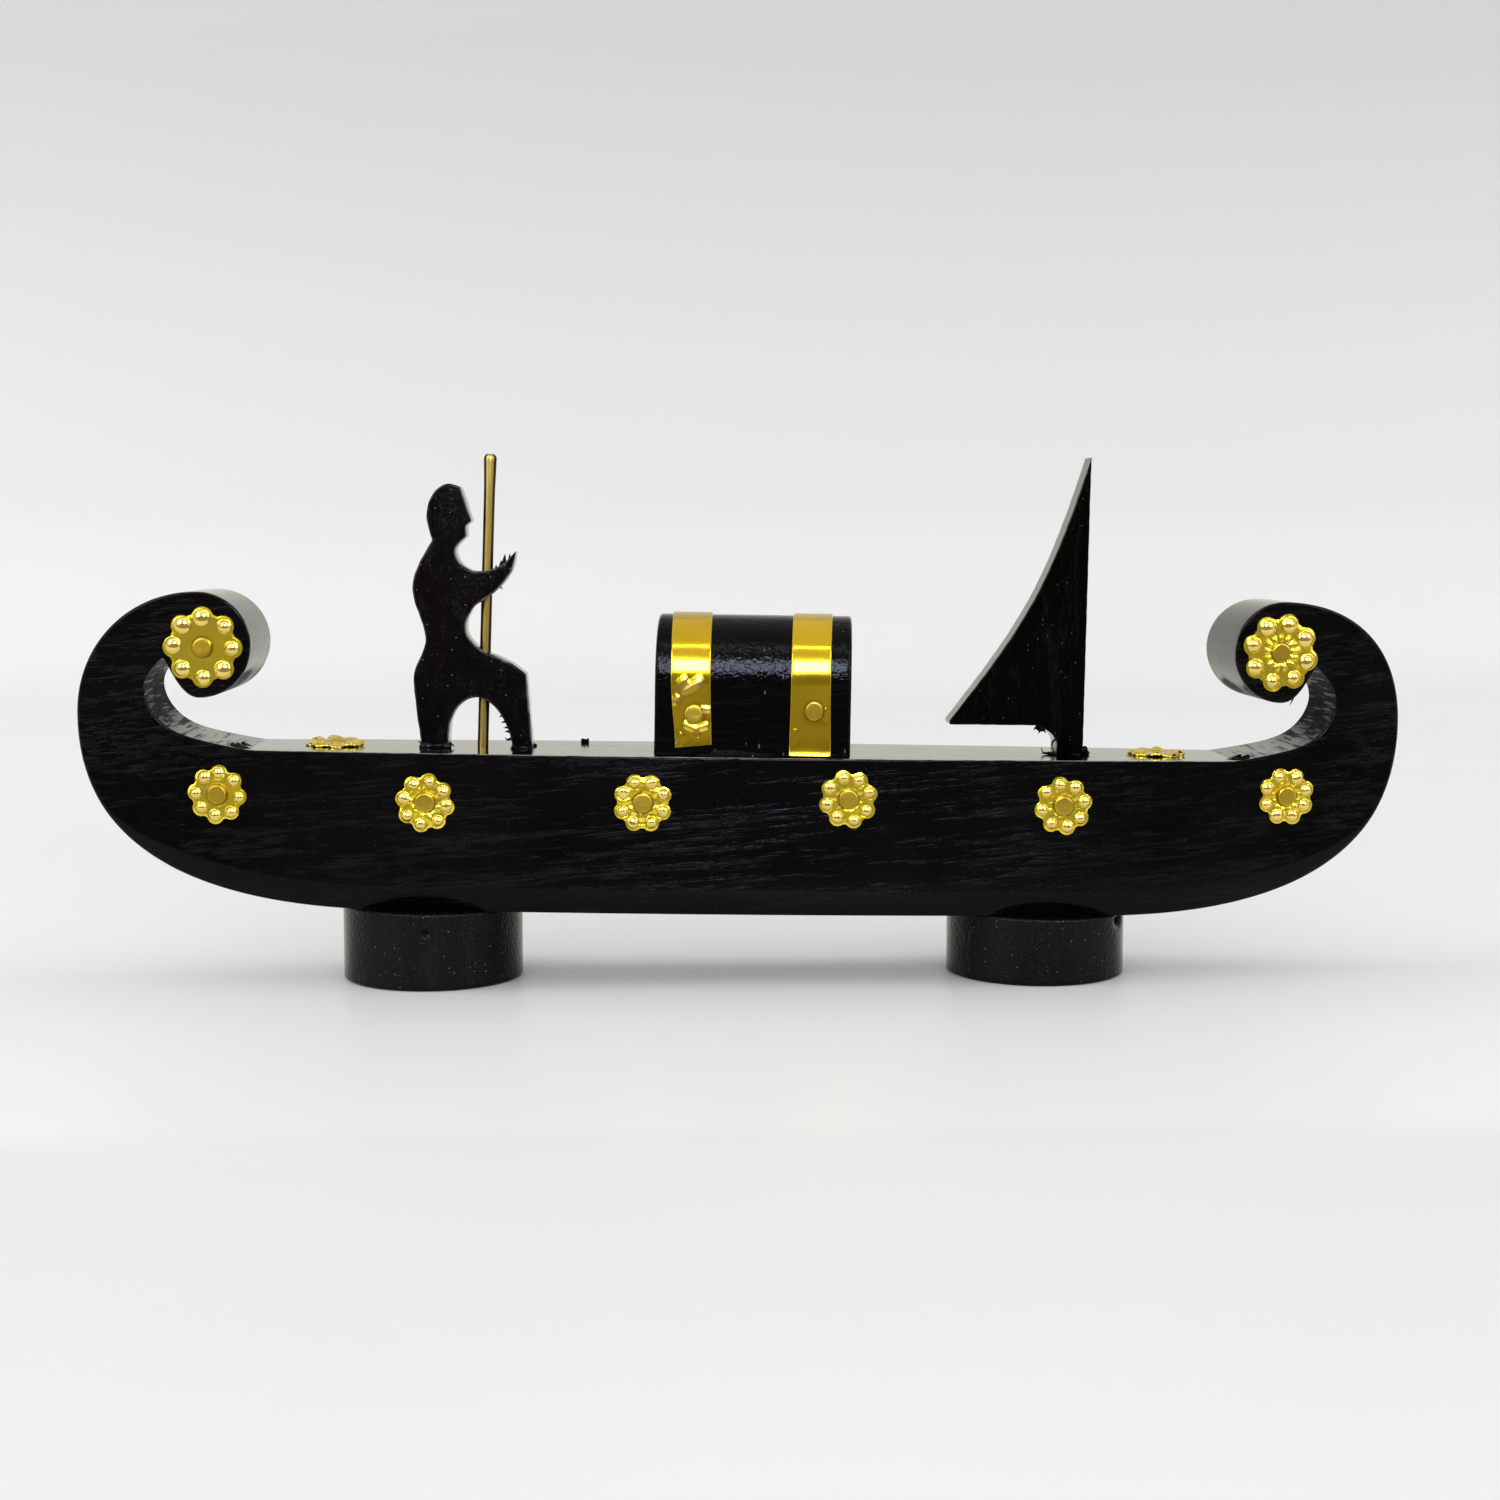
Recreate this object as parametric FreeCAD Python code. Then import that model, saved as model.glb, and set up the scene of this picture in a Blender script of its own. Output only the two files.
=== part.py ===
"""Boat-shaped incense burner: a sawn wooden hull with scrolled ends on two round feet.

It carries a boatman with a brass pole, a vaulted cabin under two brass straps and a sail,
and it is dressed with stamped brass rosettes. A stick of incense stands in each deck rosette.

Frame, in millimetres: the origin is on the table under the middle of the boat, +X points to the
sail end, -Y is the front and +Z is up. The hull and all that it carries are drawn level, with the
keel at height 0. They then lean a little, because the two feet differ in height.
"""
import math
import os

import FreeCAD
import Part

Vector = FreeCAD.Vector
Rotation = FreeCAD.Rotation
Placement = FreeCAD.Placement
UP = Vector(0, 0, 1)
ALONG = Vector(1, 0, 0)
ACROSS = Vector(0, 1, 0)

# Hull plank
hull_length = 300.5
hull_width = 38.0
hull_end_width = 18.6
hull_depth = 35.7
bow_run = 69.3
bow_steepness = 0.68
bow_fullness = 0.65

# Scrolled ends, sawn by hand, so the two differ: a fuller shoulder is squarer than a round one
scroll_left_radius = 11.85
scroll_left_rise = 23.3
scroll_left_inset = 27.7
shoulder_left_fullness = 0.56
scroll_right_radius = 11.5
scroll_right_rise = 24.8
scroll_right_inset = 28.3
shoulder_right_fullness = 0.62

# Throat under each scroll: its outline is (inset from the hull's end, rise above the deck)
notch_reach = 7.9
notch_drop = 2.9
lip_slope = (2.2, 4.2)
lip_pull = 3.4
throat_outline = ((27.6, 2.1), (19.0, 6.0), (15.4, 14.2))
deck_end_inset = 38.3

# Feet, set in from the hull's ends, with a hidden dowel in each
foot_diameter = 41.3
foot_left_height = 17.5
foot_right_height = 15.3
foot_left_inset = 78.2
foot_right_inset = 82.2
foot_edge_break = 0.8
dowel_diameter = 8.0
dowel_depth_in_foot = 8.0
dowel_depth_in_hull = 12.0

# Cabin: a block with a half-round vault, set almost straight, with its ends sawn off askew by degrees
cabin_length = 44.2
cabin_depth = 30.0
cabin_wall_height = 16.3
cabin_x = 2.35
cabin_turn = -0.7
cabin_end_turn = -4.1

# Straps over the cabin: their middles are set in from its ends, each runs askew by degrees, their ends stop
# above the deck and their nails sit to one side of the middle
strap_width = 9.0
strap_thickness = 0.5
strap_left_inset = 7.7
strap_left_turn = -2.8
strap_left_end_height = 2.2
strap_left_nail_height = 9.4
strap_right_inset = 8.9
strap_right_turn = -4.9
strap_right_end_height = 0.4
strap_right_nail_height = 10.4
strap_nail_offset = 0.8

# Brass nails
nail_head_diameter = 4.5
nail_head_thickness = 0.7
nail_shank_diameter = 1.5
nail_shank_length = 9.0

# Stamped rosettes
petal_count = 8
sheet_thickness = 0.4
side_rosette_diameter = 13.5
side_petal_radius = 1.9
side_bead_radius = 1.55
side_bead_height = 0.9
side_valley_depth = 1.0
scroll_rosette_diameter = 18.2
scroll_petal_radius = 2.45
scroll_bead_radius = 2.05
scroll_bead_height = 1.15
scroll_valley_depth = 1.4

# Rosettes on the scrolls, off the scrolls' middles: (along the hull, up)
scroll_rosette_left_shift = (1.2, -0.5)
scroll_rosette_right_shift = (-0.9, 0.0)

# Rosettes on the sides, hand placed: (share of the half length, below the deck)
side_rosette_spots = (
    (-0.787, 10.1), (-0.477, 11.0), (-0.154, 10.3), (0.152, 9.0), (0.477, 10.2), (0.823, 8.0),
)

# Rosettes on the deck: how far from the deck's end towards the boatman or the sail, as a share
deck_rosette_left_share = 0.475
deck_rosette_right_share = 0.475

# Holes for the incense sticks
stick_bore_diameter = 2.4
stick_bore_depth = 14.0

# Peg left standing in the deck
peg_x = -37.0
peg_back_inset = 5.4
peg_diameter = 1.9
peg_depth = 6.0
peg_proud = 1.1

# Boatman, a flat figure, placed along the half length by a share. It is drawn in runs and then brought to
# its height: each run is a line between two points or a curve through more, (along the hull, above the deck)
figure_place_share = -0.4126
figure_height = 60.1
figure_thickness = 7.0
figure_runs = (
    ((-11.8, 0.0), (-13.2, 9.4), (-13.8, 15.0)),
    ((-13.8, 15.0), (-13.5, 17.6), (-11.2, 23.6), (-14.0, 35.2), (-9.6, 47.3)),
    ((-9.6, 47.3), (-10.8, 54.5), (-6.3, 60.1), (-3.2, 59.5)),
    ((-3.2, 59.5), (-2.5, 57.7), (-0.5, 51.7)),
    ((-0.5, 51.7), (-1.8, 50.5)),
    ((-1.8, 50.5), (-1.6, 48.2)),
    ((-1.6, 48.2), (-4.1, 44.9), (-0.5, 40.6), (2.6, 40.6)),
    ((2.6, 40.6), (5.0, 41.4), (9.4, 45.2)),
    ((9.4, 45.2), (9.1, 42.0), (6.1, 37.0), (0.3, 32.6)),
    ((0.3, 32.6), (-1.7, 28.0), (-1.2, 25.7), (2.4, 22.2)),
    ((2.4, 22.2), (9.0, 19.3), (12.1, 17.1)),
    ((12.1, 17.1), (13.6, 0.0)),
    ((13.6, 0.0), (9.0, 0.0)),
    ((9.0, 0.0), (7.0, 6.1), (0.4, 11.6), (-3.9, 8.7), (-5.5, 0.0)),
    ((-5.5, 0.0), (-11.8, 0.0)),
)
figure_pin_spots = (-9.2, 11.2)
pin_diameter = 2.0
pin_depth_in_deck = 7.0
pin_depth_in_piece = 8.0

# Pole, loose in bores through the forearm and the thigh and in a socket in the deck. It leans by degrees
pole_offset = 1.9
pole_lean = 1.2
pole_diameter = 2.5
pole_height = 67.0
pole_socket_depth = 8.0
pole_tip_break = 0.5

# Sail, a flat board on a short neck at the mast: the clew is its far lower corner
sail_place_share = 0.503
sail_y = 2.0
sail_thickness = 8.0
sail_height = 68.2
sail_neck_width = 6.3
sail_neck_height = 5.4
sail_foot_height = 6.6
sail_clew_reach = 31.4
sail_clew_blunt = 0.9
sail_neck_flare = 2.2
sail_leech_hollow = 4.0

# Clearances
glue_gap = 0.05
nail_clearance = 0.03
pole_clearance = 0.04
end_clearance = 0.2

# Heights closer than this count as the same when an edge is picked
same_height = 0.01

half_length = hull_length / 2
foot_left_x = foot_left_inset - half_length
foot_right_x = half_length - foot_right_inset
lean = math.atan2(foot_left_height - foot_right_height, foot_right_x - foot_left_x)
scroll_left_z = hull_depth + scroll_left_rise
scroll_right_z = hull_depth + scroll_right_rise
end_left_z = scroll_left_z + scroll_left_radius - scroll_left_inset
end_right_z = scroll_right_z + scroll_right_radius - scroll_right_inset
deck_end = half_length - deck_end_inset
figure_x = figure_place_share * half_length
figure_scale = figure_height / max(z for run in figure_runs for x, z in run)
sail_x = sail_place_share * half_length
pole_foot_x = figure_x + pole_offset
sagitta = (hull_width - hull_end_width) / 2
side_curve_radius = (half_length ** 2 + sagitta ** 2) / (2 * sagitta)


def keel_height(x):
    """Height of the keel line above the table at x."""
    return foot_left_height - math.tan(lean) * (x - foot_left_x)


hull_place = Placement(
    Vector(-(end_left_z + end_right_z) / 2 * math.sin(lean), 0, keel_height(0)),
    Rotation(ACROSS, math.degrees(lean)),
)


def leaned(shape):
    """A copy of a level piece, set on the feet."""
    placed = shape.copy()
    placed.Placement = hull_place.multiply(placed.Placement)
    return placed


def half_width(x):
    """Half the hull's width at x: both sides are arcs in plan."""
    return hull_width / 2 - side_curve_radius + math.sqrt(side_curve_radius ** 2 - x ** 2)


def side_place(x, z, face):
    """Placement whose Z axis leaves the hull's side squarely: face is -1 at the front, 1 at the back."""
    turn = math.asin(x / side_curve_radius)
    outward = Vector(math.sin(turn), face * math.cos(turn), 0)
    return Placement(Vector(x, face * half_width(x), z), Rotation(UP, outward))


def round_bar(diameter, length, base, direction=UP):
    return Part.makeCylinder(diameter / 2, length, base, direction)


def prism(face, depth):
    """A face in the XZ plane, thickened evenly to both sides of it."""
    face.translate(Vector(0, -depth / 2, 0))
    return face.extrude(Vector(0, depth, 0))


def bezier_edge(*poles):
    """A Bezier curve between its first and last poles."""
    curve = Part.BezierCurve()
    curve.setPoles(list(poles))
    return curve.toShape()


def run_edge(points):
    """A straight line between two points, or a smooth curve through more."""
    points = [Vector(x, 0, z) for x, z in points]
    if len(points) == 2:
        return Part.LineSegment(*points).toShape()
    curve = Part.BSplineCurve()
    curve.interpolate(points)
    return curve.toShape()


def hull_end_edges(radius, rise, inset, fullness):
    """Outline of one end, drawn to the right: deck, throat, scroll, shoulder and down the bow to the keel."""
    scroll_x = half_length - inset
    scroll_z = hull_depth + rise
    end_z = scroll_z + radius - inset
    notch = (scroll_x + notch_reach, scroll_z - notch_drop)
    throat = [(half_length - back, hull_depth + up) for back, up in throat_outline]
    bottom = Vector(scroll_x, 0, scroll_z - radius)
    inner = Vector(scroll_x - radius, 0, scroll_z)
    top = Vector(scroll_x, 0, scroll_z + radius)
    end = Vector(half_length, 0, end_z)
    keel_end = Vector(half_length - bow_run, 0, 0)
    notch_point = Vector(notch[0], 0, notch[1])
    return [
        run_edge([(deck_end, hull_depth)] + throat + [notch]),
        bezier_edge(
            notch_point, notch_point - Vector(lip_slope[0], 0, lip_slope[1]),
            bottom + Vector(lip_pull, 0, 0), bottom,
        ),
        Part.Arc(bottom, inner, top).toShape(),
        bezier_edge(top, top + Vector(fullness * inset, 0, 0), end + Vector(0, 0, fullness * inset), end),
        bezier_edge(
            end, end - Vector(0, 0, bow_steepness * end_z),
            keel_end + Vector(bow_fullness * bow_run, 0, 0), keel_end,
        ),
    ]


def drilled(shape, *holes):
    """A solid with its holes cut."""
    for hole in holes:
        shape = shape.cut(hole)
    return shape


def hull_blank():
    """The sawn plank: the side outline carried across, trimmed to the bulged plan."""
    right = hull_end_edges(scroll_right_radius, scroll_right_rise, scroll_right_inset, shoulder_right_fullness)
    left = hull_end_edges(scroll_left_radius, scroll_left_rise, scroll_left_inset, shoulder_left_fullness)
    left = [edge.mirror(Vector(), ALONG) for edge in left]
    keel_end = half_length - bow_run
    deck = run_edge([(-deck_end, hull_depth), (deck_end, hull_depth)])
    keel = run_edge([(-keel_end, 0), (keel_end, 0)])
    outline = Part.Wire(Part.__sortEdges__(right + left + [deck, keel]))
    plank = prism(Part.Face(outline), 2 * hull_width)

    reach = half_length + sagitta
    ends = [Vector(x, y, 0) for x, y in (
        (-reach, -half_width(reach)), (reach, -half_width(reach)),
        (reach, half_width(reach)), (-reach, half_width(reach)),
    )]
    plan = Part.Wire([
        Part.Arc(ends[0], Vector(0, -hull_width / 2, 0), ends[1]).toShape(),
        Part.LineSegment(ends[1], ends[2]).toShape(),
        Part.Arc(ends[2], Vector(0, hull_width / 2, 0), ends[3]).toShape(),
        Part.LineSegment(ends[3], ends[0]).toShape(),
    ])
    tallest = 2 * (hull_depth + max(scroll_left_rise, scroll_right_rise))
    lens = Part.Face(plan).extrude(Vector(0, 0, 2 * tallest))
    lens.translate(Vector(0, 0, -tallest))
    return plank.common(lens)


def nail():
    """A flat-headed nail, head on the XY plane and shank down."""
    head = round_bar(nail_head_diameter, nail_head_thickness, Vector())
    return head.fuse(round_bar(nail_shank_diameter, nail_shank_length, Vector(), -UP))


def nail_hole():
    """Pilot hole for a nail whose head rests on the XY plane."""
    return round_bar(
        nail_shank_diameter + 2 * nail_clearance, nail_shank_length + end_clearance, Vector(), -UP
    )


def rosette(diameter, petal_radius, bead_radius, bead_height, valley_depth, hole_diameter):
    """A scalloped sheet with a hollow domed bead in each petal, its back on the XY plane."""
    plate = Part.makeCylinder(diameter / 2 - valley_depth, sheet_thickness)
    bead_circle = diameter / 2 - petal_radius
    dome_height = sheet_thickness + bead_height
    dome_radius = (bead_radius ** 2 + bead_height ** 2) / (2 * bead_height)
    above = Part.makeBox(diameter, diameter, dome_height, Vector(-diameter / 2, -diameter / 2, 0))
    hollows = []
    for k in range(petal_count):
        angle = 2 * math.pi * k / petal_count
        spot = Vector(bead_circle * math.cos(angle), bead_circle * math.sin(angle), 0)
        centre = spot + Vector(0, 0, dome_height - dome_radius)
        dome = Part.makeSphere(dome_radius, centre).common(above)
        plate = plate.fuse(Part.makeCylinder(petal_radius, sheet_thickness, spot)).fuse(dome)
        hollows.append(Part.makeSphere(dome_radius - sheet_thickness, centre))
    hole = round_bar(hole_diameter, dome_height, Vector())
    return drilled(plate, hole, *hollows).removeSplitter()


def at(shape, place):
    """A copy of a shape, moved from the origin to a placement."""
    copy = shape.copy()
    copy.Placement = place
    return copy


def raised(place, height):
    """The same placement, moved out along its own Z axis."""
    return place.multiply(Placement(Vector(0, 0, height), Rotation()))


def foot(x, height):
    """A turned disc, sawn off along the leaning keel and drilled for its dowel."""
    disc = round_bar(foot_diameter, 2 * height, Vector(x, 0, 0))
    rim = [edge for edge in disc.Edges if abs(edge.BoundBox.ZMax) < same_height]
    disc = disc.makeChamfer(foot_edge_break, rim)
    above_keel = Part.makeBox(
        2 * hull_length, 2 * foot_diameter, hull_length, Vector(-hull_length, -foot_diameter, 0)
    )
    return drilled(disc, leaned(above_keel), leaned(dowel_hole(x)))


def dowel_x(foot_x):
    """Place of a foot's dowel along the level keel."""
    return (foot_x - hull_place.Base.x) / math.cos(lean)


def dowel(foot_x):
    base = Vector(dowel_x(foot_x), 0, -dowel_depth_in_foot)
    return round_bar(dowel_diameter, dowel_depth_in_foot + dowel_depth_in_hull, base)


def dowel_hole(foot_x):
    base = Vector(dowel_x(foot_x), 0, -dowel_depth_in_foot - end_clearance)
    depth = dowel_depth_in_foot + dowel_depth_in_hull + 2 * end_clearance
    return round_bar(dowel_diameter + 2 * glue_gap, depth, base)


def deck_pin(x, y):
    """A pin that stands half in the deck and half in the piece above it."""
    return round_bar(
        pin_diameter, pin_depth_in_deck + pin_depth_in_piece, Vector(x, y, hull_depth - pin_depth_in_deck)
    )


def deck_pin_hole(x, y):
    base = Vector(x, y, hull_depth - pin_depth_in_deck - end_clearance)
    depth = pin_depth_in_deck + pin_depth_in_piece + 2 * end_clearance
    return round_bar(pin_diameter + 2 * glue_gap, depth, base)


pole_direction = Vector(math.sin(math.radians(pole_lean)), 0, math.cos(math.radians(pole_lean)))


def pole_bar(diameter, depth, height):
    """A round bar on the pole's axis, from a depth under the deck to a height above it."""
    base = Vector(pole_foot_x, 0, hull_depth) - pole_direction * depth
    return round_bar(diameter, depth + height, base, pole_direction)


def pole():
    bar = pole_bar(pole_diameter, pole_socket_depth - end_clearance, pole_height)
    tip = [edge for edge in bar.Edges if edge.BoundBox.ZMin > hull_depth + pole_height / 2]
    return bar.makeChamfer(pole_tip_break, tip)


def pole_bore():
    return pole_bar(pole_diameter + 2 * pole_clearance, pole_socket_depth, pole_height)


def on_figure(x):
    """Place along the hull of a place on the figure's drawing."""
    return figure_x + figure_scale * x


def boatman():
    runs = [[(on_figure(x), hull_depth + figure_scale * z) for x, z in run] for run in figure_runs]
    board = prism(Part.Face(Part.Wire([run_edge(run) for run in runs])), figure_thickness)
    return drilled(board, pole_bore(), *[deck_pin_hole(on_figure(x), 0) for x in figure_pin_spots])


def sail():
    """A board with an upright luff at the mast, a hollow leech and a short neck."""
    neck = sail_neck_width / 2
    tip = (neck, sail_height)
    clew = (neck - sail_clew_reach, sail_foot_height + sail_clew_blunt)
    under_clew = (clew[0], sail_foot_height)
    rise = sail_height - clew[1]
    leech = math.hypot(sail_clew_reach, rise)
    leech_mid = (
        (tip[0] + clew[0]) / 2 + sail_leech_hollow * rise / leech,
        (tip[1] + clew[1]) / 2 - sail_leech_hollow * sail_clew_reach / leech,
    )
    corners = [
        tip, (neck, 0), (-neck, 0), (-neck, sail_neck_height),
        (-neck - sail_neck_flare, sail_foot_height), under_clew, clew,
    ]
    runs = list(zip(corners, corners[1:])) + [(clew, leech_mid, tip)]
    edges = [run_edge([(sail_x + x, hull_depth + z) for x, z in run]) for run in runs]
    board = prism(Part.Face(Part.Wire(edges)), sail_thickness)
    board.translate(Vector(0, sail_y, 0))
    return drilled(board, deck_pin_hole(sail_x, sail_y))


cabin_place = Placement(Vector(cabin_x, 0, hull_depth), Rotation(UP, cabin_turn))


def vault(length, depth, foot_height):
    """A half-round vault on upright walls, along X, with its walls starting at foot_height."""
    side = depth / 2
    walls = [(-side, cabin_wall_height), (-side, foot_height), (side, foot_height), (side, cabin_wall_height)]
    corners = [Vector(-length / 2, y, z) for y, z in walls]
    crown = Vector(-length / 2, 0, cabin_wall_height + side)
    edges = [Part.LineSegment(*pair).toShape() for pair in zip(corners, corners[1:])]
    edges.append(Part.Arc(corners[3], crown, corners[0]).toShape())
    return Part.Face(Part.Wire(edges)).extrude(Vector(length, 0, 0))


strap_spots = {
    "left": (
        strap_left_inset - cabin_length / 2,
        strap_left_turn, strap_left_end_height, strap_left_nail_height,
    ),
    "right": (
        cabin_length / 2 - strap_right_inset,
        strap_right_turn, strap_right_end_height, strap_right_nail_height,
    ),
}


def slab(x, thickness, turn):
    """An upright slice across the cabin, through a place on its ridge and turned about Z."""
    reach = cabin_length + cabin_depth + cabin_wall_height
    box = Part.makeBox(thickness, 2 * reach, 2 * reach, Vector(-thickness / 2, -reach, -reach))
    return at(box, Placement(Vector(cabin_x + x, 0, hull_depth), Rotation(UP, turn)))


def strap_nail_places():
    """Where each strap nail's head meets its strap, front then back."""
    out = cabin_depth / 2 + strap_thickness
    places = []
    for x, turn, _, height in strap_spots.values():
        skew = out * math.tan(math.radians(turn - cabin_turn))
        for face in (-1, 1):
            spot = Vector(x - face * skew + strap_nail_offset, face * out, height)
            places.append(cabin_place.multiply(Placement(spot, Rotation(UP, ACROSS * face))))
    return places


def cabin():
    long_block = at(vault(2 * cabin_length, cabin_depth, 0), cabin_place)
    block = long_block.common(slab(0, cabin_length, cabin_end_turn))
    return drilled(block, *[at(nail_hole(), place) for place in strap_nail_places()])


def strap(x, turn, end_height):
    """A thin strip bent over the vault, its ends hanging at end_height above the deck."""
    outer = vault(2 * cabin_length, cabin_depth + 2 * strap_thickness, end_height)
    skin = outer.cut(vault(3 * cabin_length, cabin_depth, -end_height))
    band = at(skin, cabin_place).common(slab(x, strap_width, turn))
    return drilled(band, *[at(nail_hole(), place) for place in strap_nail_places()])


def peg_bar(diameter, depth, proud):
    """A round bar on the peg's axis, near the deck's back edge."""
    base = Vector(peg_x, half_width(peg_x) - peg_back_inset, hull_depth - depth)
    return round_bar(diameter, depth + proud, base)


def stick_bore(x):
    return round_bar(stick_bore_diameter, stick_bore_depth, Vector(x, 0, hull_depth - stick_bore_depth))


faces = {"front": -1, "back": 1}
side_places = {
    f"side_rosette_{name}_{k}": side_place(share * half_length, hull_depth - drop, face)
    for name, face in faces.items()
    for k, (share, drop) in enumerate(side_rosette_spots, start=1)
}
scroll_rosette_spots = {
    "left": (
        scroll_left_inset - half_length + scroll_rosette_left_shift[0],
        scroll_left_z + scroll_rosette_left_shift[1],
    ),
    "right": (
        half_length - scroll_right_inset + scroll_rosette_right_shift[0],
        scroll_right_z + scroll_rosette_right_shift[1],
    ),
}
scroll_places = {
    f"scroll_rosette_{name}_{end}": side_place(x, z, face)
    for name, face in faces.items()
    for end, (x, z) in scroll_rosette_spots.items()
}
figure_heel = on_figure(figure_runs[0][0][0])
mast_face = sail_x + sail_neck_width / 2
deck_spots = {
    "deck_rosette_left": -deck_end + deck_rosette_left_share * (deck_end + figure_heel),
    "deck_rosette_right": deck_end - deck_rosette_right_share * (deck_end - mast_face),
}
rosette_nail_places = [
    raised(place, sheet_thickness) for place in list(side_places.values()) + list(scroll_places.values())
]


def hull():
    holes = [at(nail_hole(), place) for place in rosette_nail_places]
    holes += [dowel_hole(x) for x in (foot_left_x, foot_right_x)]
    holes += [deck_pin_hole(on_figure(x), 0) for x in figure_pin_spots]
    holes += [deck_pin_hole(sail_x, sail_y), pole_bore()]
    holes.append(peg_bar(peg_diameter + 2 * glue_gap, peg_depth + end_clearance, 0))
    holes += [stick_bore(x) for x in deck_spots.values()]
    return drilled(hull_blank(), *holes)


nail_hole_diameter = nail_shank_diameter + 2 * nail_clearance
side_sheet = rosette(
    side_rosette_diameter, side_petal_radius, side_bead_radius, side_bead_height,
    side_valley_depth, nail_hole_diameter,
)
deck_sheet = rosette(
    side_rosette_diameter, side_petal_radius, side_bead_radius, side_bead_height,
    side_valley_depth, stick_bore_diameter,
)
scroll_sheet = rosette(
    scroll_rosette_diameter, scroll_petal_radius, scroll_bead_radius, scroll_bead_height,
    scroll_valley_depth, nail_hole_diameter,
)

level_pieces = {
    "hull": hull(),
    "cabin": cabin(),
    "boatman": boatman(),
    "pole": pole(),
    "sail": sail(),
    "deck_peg": peg_bar(peg_diameter, peg_depth, peg_proud),
    "foot_dowel_left": dowel(foot_left_x),
    "foot_dowel_right": dowel(foot_right_x),
    "boatman_pins": Part.makeCompound([deck_pin(on_figure(x), 0) for x in figure_pin_spots]),
    "sail_pin": deck_pin(sail_x, sail_y),
    "rosette_nails": Part.makeCompound([at(nail(), place) for place in rosette_nail_places]),
    "strap_nails": Part.makeCompound([at(nail(), place) for place in strap_nail_places()]),
}
for end, (x, turn, end_height, _) in strap_spots.items():
    level_pieces[f"strap_{end}"] = strap(x, turn, end_height)
for name, place in side_places.items():
    level_pieces[name] = at(side_sheet, place)
for name, place in scroll_places.items():
    level_pieces[name] = at(scroll_sheet, place)
for name, x in deck_spots.items():
    level_pieces[name] = at(deck_sheet, Placement(Vector(x, 0, hull_depth), Rotation()))

pieces = {name: leaned(shape) for name, shape in level_pieces.items()}
pieces["foot_left"] = foot(foot_left_x, foot_left_height)
pieces["foot_right"] = foot(foot_right_x, foot_right_height)

os.makedirs("parts", exist_ok=True)
for name, shape in pieces.items():
    shape.exportStep(f"parts/{name}.step")
    print(name, len(shape.Solids), "solid(s),", round(shape.Volume, 1), "mm3, valid", shape.isValid())
print("lean in degrees", round(math.degrees(lean), 3))
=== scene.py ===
# %% [markdown]
# # A boat-shaped incense burner
# A black lacquered wooden boat stands on two round feet. It carries a flat boatman with a brass pole, a
# vaulted cabin under two brass straps, and a sail. Stamped brass rosettes are nailed to its sides. The
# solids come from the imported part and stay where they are. This file makes the surfaces that are seen:
# rounded edges, saw marks, stamped beads and the finishes.

import math

import bmesh
import bpy
import numpy as np
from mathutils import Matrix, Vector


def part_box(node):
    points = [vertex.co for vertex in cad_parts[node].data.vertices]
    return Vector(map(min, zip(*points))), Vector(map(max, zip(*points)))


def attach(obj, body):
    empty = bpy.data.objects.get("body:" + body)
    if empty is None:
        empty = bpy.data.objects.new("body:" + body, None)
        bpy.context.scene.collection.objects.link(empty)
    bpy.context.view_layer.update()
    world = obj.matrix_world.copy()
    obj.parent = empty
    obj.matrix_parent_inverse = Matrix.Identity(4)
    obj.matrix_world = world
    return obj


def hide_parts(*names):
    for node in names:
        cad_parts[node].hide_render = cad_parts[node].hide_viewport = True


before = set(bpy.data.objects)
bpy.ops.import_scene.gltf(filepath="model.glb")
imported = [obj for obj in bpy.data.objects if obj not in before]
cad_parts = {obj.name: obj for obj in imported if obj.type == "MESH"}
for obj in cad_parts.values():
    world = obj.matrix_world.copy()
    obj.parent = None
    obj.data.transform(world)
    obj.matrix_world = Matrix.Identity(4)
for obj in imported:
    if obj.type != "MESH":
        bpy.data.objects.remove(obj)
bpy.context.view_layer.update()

# %% [markdown]
# ## One boat, drawn level
# The feet differ in height, so the whole boat leans by almost a degree. Every piece could be drawn leaning,
# but it is easier to draw a level boat in millimetres, with its keel at height 0, and to lean it once at
# the end. The lean is read from the feet's solids, so the drawing always sits on them.

# %% The level boat and the table
MM = 0.001
hull_length = 300.5
hull_depth = 35.7
half_length = hull_length / 2
scrolls = {
    "left": {"radius": 11.85, "rise": 23.3, "inset": 27.7, "fullness": 0.56},
    "right": {"radius": 11.5, "rise": 24.8, "inset": 28.3, "fullness": 0.62},
}
end_height = hull_depth + np.mean([end["rise"] + end["radius"] - end["inset"] for end in scrolls.values()])

foot_boxes = {
    side: [np.array(corner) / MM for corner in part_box(f"foot_{side}")] for side in ("left", "right")
}
left_low, left_high = foot_boxes["left"]
right_low, right_high = foot_boxes["right"]
keel_slope = (left_high[2] - right_high[2]) / (right_low[0] - left_low[0])
lean = math.atan(keel_slope)
keel_middle = left_high[2] + keel_slope * left_low[0]


def aboard(points):
    """From the level boat in millimetres to the table in metres: turned about Y by the lean, then
    raised."""
    x, y, z = np.moveaxis(np.asarray(points, float), -1, 0)
    turned_x = x * math.cos(lean) + (z - end_height) * math.sin(lean)
    turned_z = keel_middle - x * math.sin(lean) + z * math.cos(lean)
    return np.stack([turned_x, y, turned_z], -1) * MM


def level_middle(node):
    """Middle of a CAD node's box, turned back onto the level boat, in millimetres."""
    low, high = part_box(node)
    x, y, z = np.array(low + high) / 2 / MM
    x = x + end_height * math.sin(lean)
    z = z - keel_middle
    return np.array([x * math.cos(lean) - z * math.sin(lean), y, x * math.sin(lean) + z * math.cos(lean)])


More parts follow.
